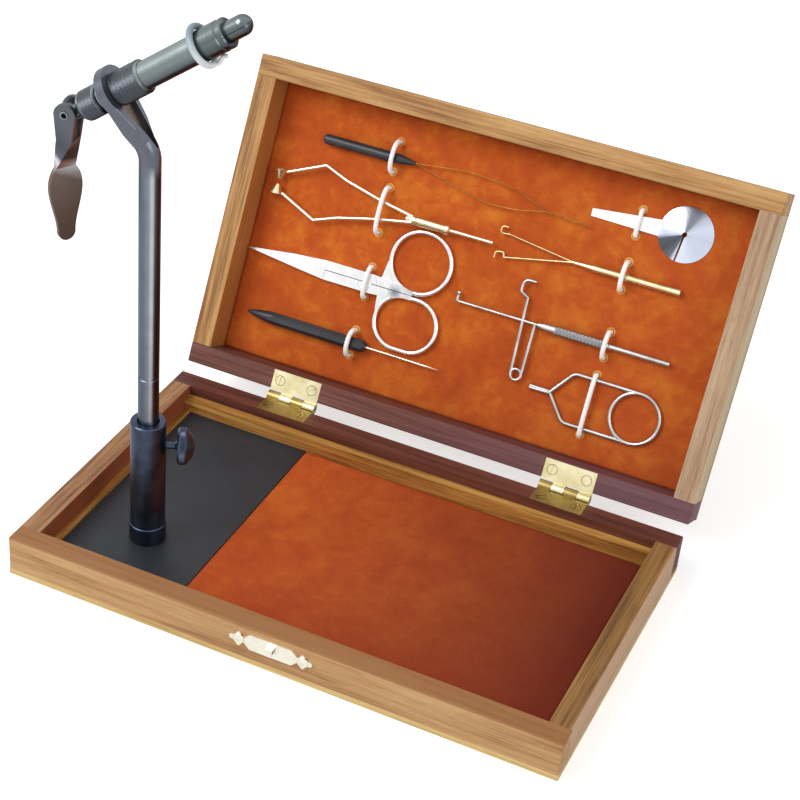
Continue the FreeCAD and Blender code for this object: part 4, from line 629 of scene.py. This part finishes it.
def head_rings(name, node, frame_matrix, radius, material, body):
    """The dark joint round each screw head of a node."""
    back = frame_matrix.inverted()
    points, faces = [], []
    count = 32
    turns = [2 * math.pi * n / count for n in range(count)]
    local = [back @ nodes[node].matrix_world @ corner.co for corner in nodes[node].data.vertices]
    for group in clusters(local, 3 * radius):
        top = max(corner.z for corner in group) + RING_LIFT
        x = (min(c.x for c in group) + max(c.x for c in group)) / 2
        y = (min(c.y for c in group) + max(c.y for c in group)) / 2
        first = len(points)
        for reach in (radius - RING_INSIDE, radius + RING_OUTSIDE):
            points += [(x + reach * math.cos(turn), y + reach * math.sin(turn), top) for turn in turns]
        faces += [(first + n, first + (n + 1) % count, first + count + (n + 1) % count, first + count + n)
                  for n in range(count)]
    mesh = bpy.data.meshes.new(name)
    mesh.from_pydata(points, [], faces)
    mesh.update()
    return mesh_piece(name, mesh, material, body, frame_matrix, smooth=False)


brass_dark = metal("brass_dark", srgb(104, 88, 44), srgb(136, 118, 66), 0.5, None, (60, 60, 60))
HINGE_SCREW_RADIUS = 0.0024
head_rings("lid_screw_rings", "lid_hinge_screws", LID, HINGE_SCREW_RADIUS, brass_dark, "lid")
head_rings("base_screw_rings", "base_hinge_screws", Matrix(), HINGE_SCREW_RADIUS, brass_dark, "base")


# ---------------------------------------------------------------- the vise's eye and the catch's ends

eye_brown = metal("gunmetal_brown", srgb(98, 86, 78), srgb(128, 114, 102), 0.34, None, (60, 60, 700))
EYE_MIDDLE = 0.0014
EYE_CORE = 0.0066
EYE_APEX = 0.0272
# The web stops short of the eye's apex, reaches a little past its core, and is thin.
WEB_SHORT = 0.0006
WEB_REACH = EYE_CORE * 1.03
WEB_HALF = 0.0007
WEB_STEPS = 6


def eye_web():
    """Thin sheet between the eye's two legs, below the barrel.  The source has an open slot here."""
    lean = math.asin((EYE_CORE - WEB_SHORT) / EYE_APEX)
    turns = [(math.pi / 2 - lean) * (k / WEB_STEPS - 1) for k in range(2 * WEB_STEPS + 1)]
    outline = [(WEB_REACH * math.sin(turn), -WEB_REACH * math.cos(turn)) for turn in turns]
    outline.append((WEB_HALF, -EYE_APEX + WEB_SHORT))
    outline.append((-WEB_HALF, -EYE_APEX + WEB_SHORT))
    points = [(EYE_MIDDLE + side * WEB_HALF, y, z) for side in (1, -1) for y, z in outline]
    count = len(outline)
    faces = [tuple(range(count)), tuple(range(2 * count - 1, count - 1, -1))]
    faces += [(k, count + k, count + (k + 1) % count, (k + 1) % count) for k in range(count)]
    mesh = bpy.data.meshes.new("vise_eye_web")
    mesh.from_pydata(points, [], faces)
    mesh.update()
    return mesh_piece("vise_eye_web", mesh, eye_brown, "stem", HEAD, smooth=False)


eye_web()

CATCH_FACE = -0.0778
CATCH_LEVEL = 0.0127
CATCH_SPREAD = 0.0151
# Radius and height of each ring of a rosette.
ROSETTE = ((0.0026, 0.0001), (0.0026, 0.0003), (0.0022, 0.0005), (0.0017, 0.0003), (0.0015, 0.0002),
           (0.0013, 0.0005), (0.0006, 0.0006), (0.00005, 0.0006))
for label, x in (("left", -CATCH_SPREAD), ("right", CATCH_SPREAD)):
    rosette = grid_mesh("catch_rosette_" + label, len(ROSETTE), 32,
                        lambda i, j: (x + ROSETTE[i][0] * math.cos(j * math.pi / 16),
                                      CATCH_FACE - ROSETTE[i][1],
                                      CATCH_LEVEL + ROSETTE[i][0] * math.sin(j * math.pi / 16)))
    mesh_piece(rosette.name, rosette, brass_white, "base")


# ---------------------------------------------------------------- suede sheets

# Each loop: tool, place along the lid, reach ahead, reach behind, crest above the lining, fullness.
CORDS = [("threader", -0.2333, 1.14, 0.97, 0.0056, 0.5), ("bobbin", -0.2313, 1.62, 1.55, 0.0051, 0.4),
         ("scissors", -0.225, 1.10, 1.06, 0.0032, 0.45), ("bodkin", -0.225, 0.9, 0.92, 0.0063, 0.5),
         ("guard", 0.2763, 0.82, 0.95, 0.0006, 0.5), ("twister", 0.2775, 1.0, 0.88, 0.0040, 0.5),
         ("whip", 0.2817, 0.92, 0.86, 0.0041, 0.5), ("pliers", 0.2792, 2.03, 2.15, 0.0019, 0.22)]
LOOP_REACH = 0.007
CORD_RADIUS = 0.00108


def cord_ends(cord):
    """A loop's place along the lid, and where its two ends go into the lining."""
    tool, share, ahead, behind = cord[:4]
    middle = HINGE_OFFSET + BOARD + ROWS[tool] * LID_ROOM
    return share * LID_LENGTH, middle - behind * LOOP_REACH, middle + ahead * LOOP_REACH


SUEDE_STEP = 0.0013
SUEDE_THICKNESS = 0.0006
# A sheet's edge sinks by the first over the second; a dimple by the first within the second.
EDGE_SINK, EDGE_RUN = 0.0005, 0.0018
DIMPLE_SINK, DIMPLE_RUN = 0.0005, 0.0022
# Height and waves per metre of the two ripples.
RIPPLE, RIPPLE_RATE = 0.00008, 60
FINE_RIPPLE, FINE_RATE = 0.00005, 240


def suede_sheet(name, low, high, level, frame_matrix, holes, material, body, node):
    """A glued suede sheet: soft rolled edges, a faint ripple and a dimple at every cord."""
    columns = int((high[0] - low[0]) / SUEDE_STEP) + 1
    rows = int((high[1] - low[1]) / SUEDE_STEP) + 1

    def point(i, j):
        x = low[0] + (high[0] - low[0]) * j / (columns - 1)
        y = low[1] + (high[1] - low[1]) * i / (rows - 1)
        edge = min(x - low[0], high[0] - x, y - low[1], high[1] - y)
        roll = EDGE_SINK * max(0.0, 1 - edge / EDGE_RUN) ** 2
        ripple = RIPPLE * noise.noise((x * RIPPLE_RATE, y * RIPPLE_RATE, 3.7))
        ripple += FINE_RIPPLE * noise.noise((x * FINE_RATE, y * FINE_RATE, 9.1)) - RIPPLE
        dent = 0.0
        for hole_x, hole_y in holes:
            away = math.hypot(x - hole_x, y - hole_y)
            dent += DIMPLE_SINK * math.exp(-(away / DIMPLE_RUN) ** 2)
        return (x, y, level + ripple - roll - dent)

    mesh = grid_mesh(name, rows, columns, point, closed=False)
    piece = mesh_piece(name, mesh, material, body, frame_matrix)
    thick = piece.modifiers.new("thickness", "SOLIDIFY")
    thick.thickness = SUEDE_THICKNESS
    thick.offset = -1
    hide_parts(node)
    return piece


holes = [(cord_ends(cord)[0], y) for cord in CORDS for y in cord_ends(cord)[1:]]
suede_sheet("lid_suede", (-LID_LENGTH / 2, LID_BACK), (LID_LENGTH / 2, LID_BACK + LID_ROOM), LINING, LID,
            holes, lid_suede, "lid", "lid_lining")
base_low, base_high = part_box("base_lining")
suede_sheet("base_suede", base_low[:2], base_high[:2], base_high[2], None, [], base_suede, "base",
            "base_lining")


# ---------------------------------------------------------------- elastic loops

def swept_tube(name, route, radius, columns, relief, material, body, frame_matrix=None):
    """Tube along a route of points that keeps to one plane; relief(i, j) swells it.  The plane comes
    from the route's ends, or where these meet, from points on its way."""
    flat = (route[-1] - route[0]).cross(route[len(route) // 4] - route[0])
    if flat.length < 1e-12:
        flat = (route[len(route) // 3] - route[0]).cross(route[len(route) // 2] - route[0])
    flat.normalize()
    sections = []
    for i, centre in enumerate(route):
        ahead = (route[min(i + 1, len(route) - 1)] - route[max(i - 1, 0)]).normalized()
        sections.append((centre, flat, ahead.cross(flat).normalized()))

    def point(i, j):
        centre, side, up = sections[i]
        angle = 2 * math.pi * j / columns
        reach = radius * (1 + relief(i, j))
        return centre + side * (reach * math.cos(angle)) + up * (reach * math.sin(angle))

    mesh = grid_mesh(name, len(route), columns, point)
    return mesh_piece(name, mesh, material, body, frame_matrix)


BRAID_COLUMNS = 24
BRAID_STEP = 0.00016
BRAID_RELIEF, BRAID_TURN = 0.07, 0.42
CREST_GAP = 0.0005
SUNK = 0.0012
# Radius and height of each ring of the rim round a loop's hole.
HOLE_RIM = ((0.0024, -0.00055), (0.0020, 0.00005), (0.0017, 0.00022), (0.00148, 0.00012),
            (0.00136, -0.0004))
for cord in CORDS:
    x, start, end = cord_ends(cord)
    crest, fullness = cord[4], cord[5]
    top = LINING + crest + CREST_GAP + CORD_RADIUS
    half = (end - start) / 2
    reach = math.pi * half * 0.75 + 2 * crest
    count = int(reach / BRAID_STEP)
    route = []
    for k in range(count + 1):
        angle = math.pi * k / count
        height = (top - LINING + SUNK) * math.sin(angle) ** fullness - SUNK
        route.append(Vector((x, (start + end) / 2 - half * math.cos(angle), LINING + height)))

    def braid(i, j):
        turn = 2 * math.pi * j / BRAID_COLUMNS
        along = i * BRAID_TURN
        return BRAID_RELIEF * max(math.sin(4 * turn + along), math.sin(4 * turn - along))

    swept_tube("elastic_" + cord[0], route, CORD_RADIUS, BRAID_COLUMNS, braid, elastic, "lid",
               LID)
    for label, y in (("low", start), ("high", end)):
        rim = grid_mesh("loop_hole_%s_%s" % (cord[0], label), len(HOLE_RIM), 28,
                        lambda i, j: (x + HOLE_RIM[i][0] * math.cos(j * math.pi / 14),
                                      y + HOLE_RIM[i][0] * math.sin(j * math.pi / 14),
                                      LINING + HOLE_RIM[i][1]))
        mesh_piece(rim.name, rim, hole_rim_suede, "lid", LID)


# ---------------------------------------------------------------- the vise's material clip

CLIP_PLACE = 0.0456
CLIP_RADIUS = 0.0079
CLIP_WIRE = 0.00135
HOOK_LENGTH, HOOK_BOW, HOOK_WIRE = 0.0072, 0.0007, 0.0009
HOOK_STEPS = 24
clip_turns = [k * math.pi / 60 for k in range(121)]
clip_route = [Vector((CLIP_PLACE, CLIP_RADIUS * math.cos(turn), CLIP_RADIUS * math.sin(turn)))
              for turn in clip_turns]
clip = swept_tube("vise_clip_ring", clip_route, CLIP_WIRE, 20, lambda i, j: 0.0, clip_pale, "stem",
                  HEAD)
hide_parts("vise_material_clip")
hook_route = [Vector((CLIP_PLACE + HOOK_LENGTH * k / HOOK_STEPS, 0,
                      -CLIP_RADIUS - HOOK_BOW * math.sin(k * math.pi / 12)))
              for k in range(HOOK_STEPS + 1)]
swept_tube("vise_clip_hook", hook_route, HOOK_WIRE, 16,
           lambda i, j: -0.9 if i in (0, HOOK_STEPS) else 0.0, clip_pale, "stem", HEAD)
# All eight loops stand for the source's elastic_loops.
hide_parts("elastic_loops")


# ---------------------------------------------------------------- floor, lamps and camera

FLOOR_HALF = 6
FLOOR_GREY = 0.86
FLOOR_GLOW = 0.45
FILL_LIGHT = 0.66
WHITE = (1, 1, 1, 1)
floor_mesh = bpy.data.meshes.new("floor")
floor_corners = [(x * FLOOR_HALF, y * FLOOR_HALF, 0) for x, y in ((-1, -1), (1, -1), (1, 1), (-1, 1))]
floor_mesh.from_pydata(floor_corners, [], [(0, 1, 2, 3)])
floor = bpy.data.objects.new("floor", floor_mesh)
bpy.context.scene.collection.objects.link(floor)
ground = bpy.data.materials.new("pale_floor")
ground.use_nodes = True
tree = ground.node_tree
tree.nodes.clear()
out = tree.nodes.new("ShaderNodeOutputMaterial")
matt = tree.nodes.new("ShaderNodeBsdfDiffuse")
matt.inputs["Color"].default_value = (FLOOR_GREY, FLOOR_GREY, FLOOR_GREY, 1)
glow = tree.nodes.new("ShaderNodeEmission")
glow.inputs["Color"].default_value = WHITE
glow.inputs["Strength"].default_value = FLOOR_GLOW
both = tree.nodes.new("ShaderNodeAddShader")
choose = tree.nodes.new("ShaderNodeMixShader")
path = tree.nodes.new("ShaderNodeLightPath")
tree.links.new(matt.outputs[0], both.inputs[0])
tree.links.new(glow.outputs[0], both.inputs[1])
tree.links.new(path.outputs["Is Camera Ray"], choose.inputs[0])
tree.links.new(matt.outputs[0], choose.inputs[1])
tree.links.new(both.outputs[0], choose.inputs[2])
tree.links.new(choose.outputs[0], out.inputs["Surface"])
floor_mesh.materials.append(ground)

world = bpy.data.worlds.new("studio")
bpy.context.scene.world = world
world.use_nodes = True
tree = world.node_tree
tree.nodes.clear()
out = tree.nodes.new("ShaderNodeOutputWorld")
seen = tree.nodes.new("ShaderNodeBackground")
seen.inputs["Strength"].default_value = 1.0
seen.inputs["Color"].default_value = WHITE
fill = tree.nodes.new("ShaderNodeBackground")
fill.inputs["Strength"].default_value = FILL_LIGHT
fill.inputs["Color"].default_value = WHITE
path = tree.nodes.new("ShaderNodeLightPath")
choose = tree.nodes.new("ShaderNodeMixShader")
seen_by = path.outputs["Is Camera Ray"]
for ray in ("Is Glossy Ray", "Is Transmission Ray"):
    either = tree.nodes.new("ShaderNodeMath")
    either.operation = "MAXIMUM"
    tree.links.new(seen_by, either.inputs[0])
    tree.links.new(path.outputs[ray], either.inputs[1])
    seen_by = either.outputs[0]
tree.links.new(seen_by, choose.inputs[0])
tree.links.new(fill.outputs[0], choose.inputs[1])
tree.links.new(seen.outputs[0], choose.inputs[2])
tree.links.new(choose.outputs[0], out.inputs["Surface"])


def softbox(name, spot, aim, width, height, power):
    """Soft rectangular lamp at a spot, turned to its aim; power in watts."""
    light = bpy.data.lights.new(name, "AREA")
    light.shape = "RECTANGLE"
    light.size = width
    light.size_y = height
    light.energy = power
    lamp = bpy.data.objects.new(name, light)
    bpy.context.scene.collection.objects.link(lamp)
    lamp.location = spot
    lamp.rotation_euler = (Vector(aim) - Vector(spot)).to_track_quat("-Z", "Y").to_euler()
    return lamp


LAMP_AIM = (0, 0, 0.08)
softbox("key", (-0.9, -0.9, 1.3), LAMP_AIM, 0.9, 0.9, 18)
softbox("side", (1.3, -0.6, 0.7), LAMP_AIM, 0.7, 0.9, 4)

camera = bpy.data.cameras.new("camera")
camera.sensor_width = 36
camera.lens = 88.70
camera.shift_x = 0.0902
camera.shift_y = 0.0834
camera.clip_start = 0.05
camera.clip_end = 20
viewer = bpy.data.objects.new("camera", camera)
bpy.context.scene.collection.objects.link(viewer)
# The view's axes and the camera's place, solved from the case's corners in the photograph.
CAMERA_PLACE = (0.264938, -0.636018, 0.563356)
right = Vector((0.89572768, 0.44060844, 0.05946538))
down = Vector((0.3046647, -0.51087277, -0.80385847))
ahead = Vector((-0.32380758, 0.73815528, -0.59184072))
turn = Matrix((right, -down, -ahead)).transposed().to_4x4()
viewer.matrix_world = Matrix.Translation(CAMERA_PLACE) @ turn
bpy.context.scene.camera = viewer
bpy.context.scene.view_settings.view_transform = "Standard"
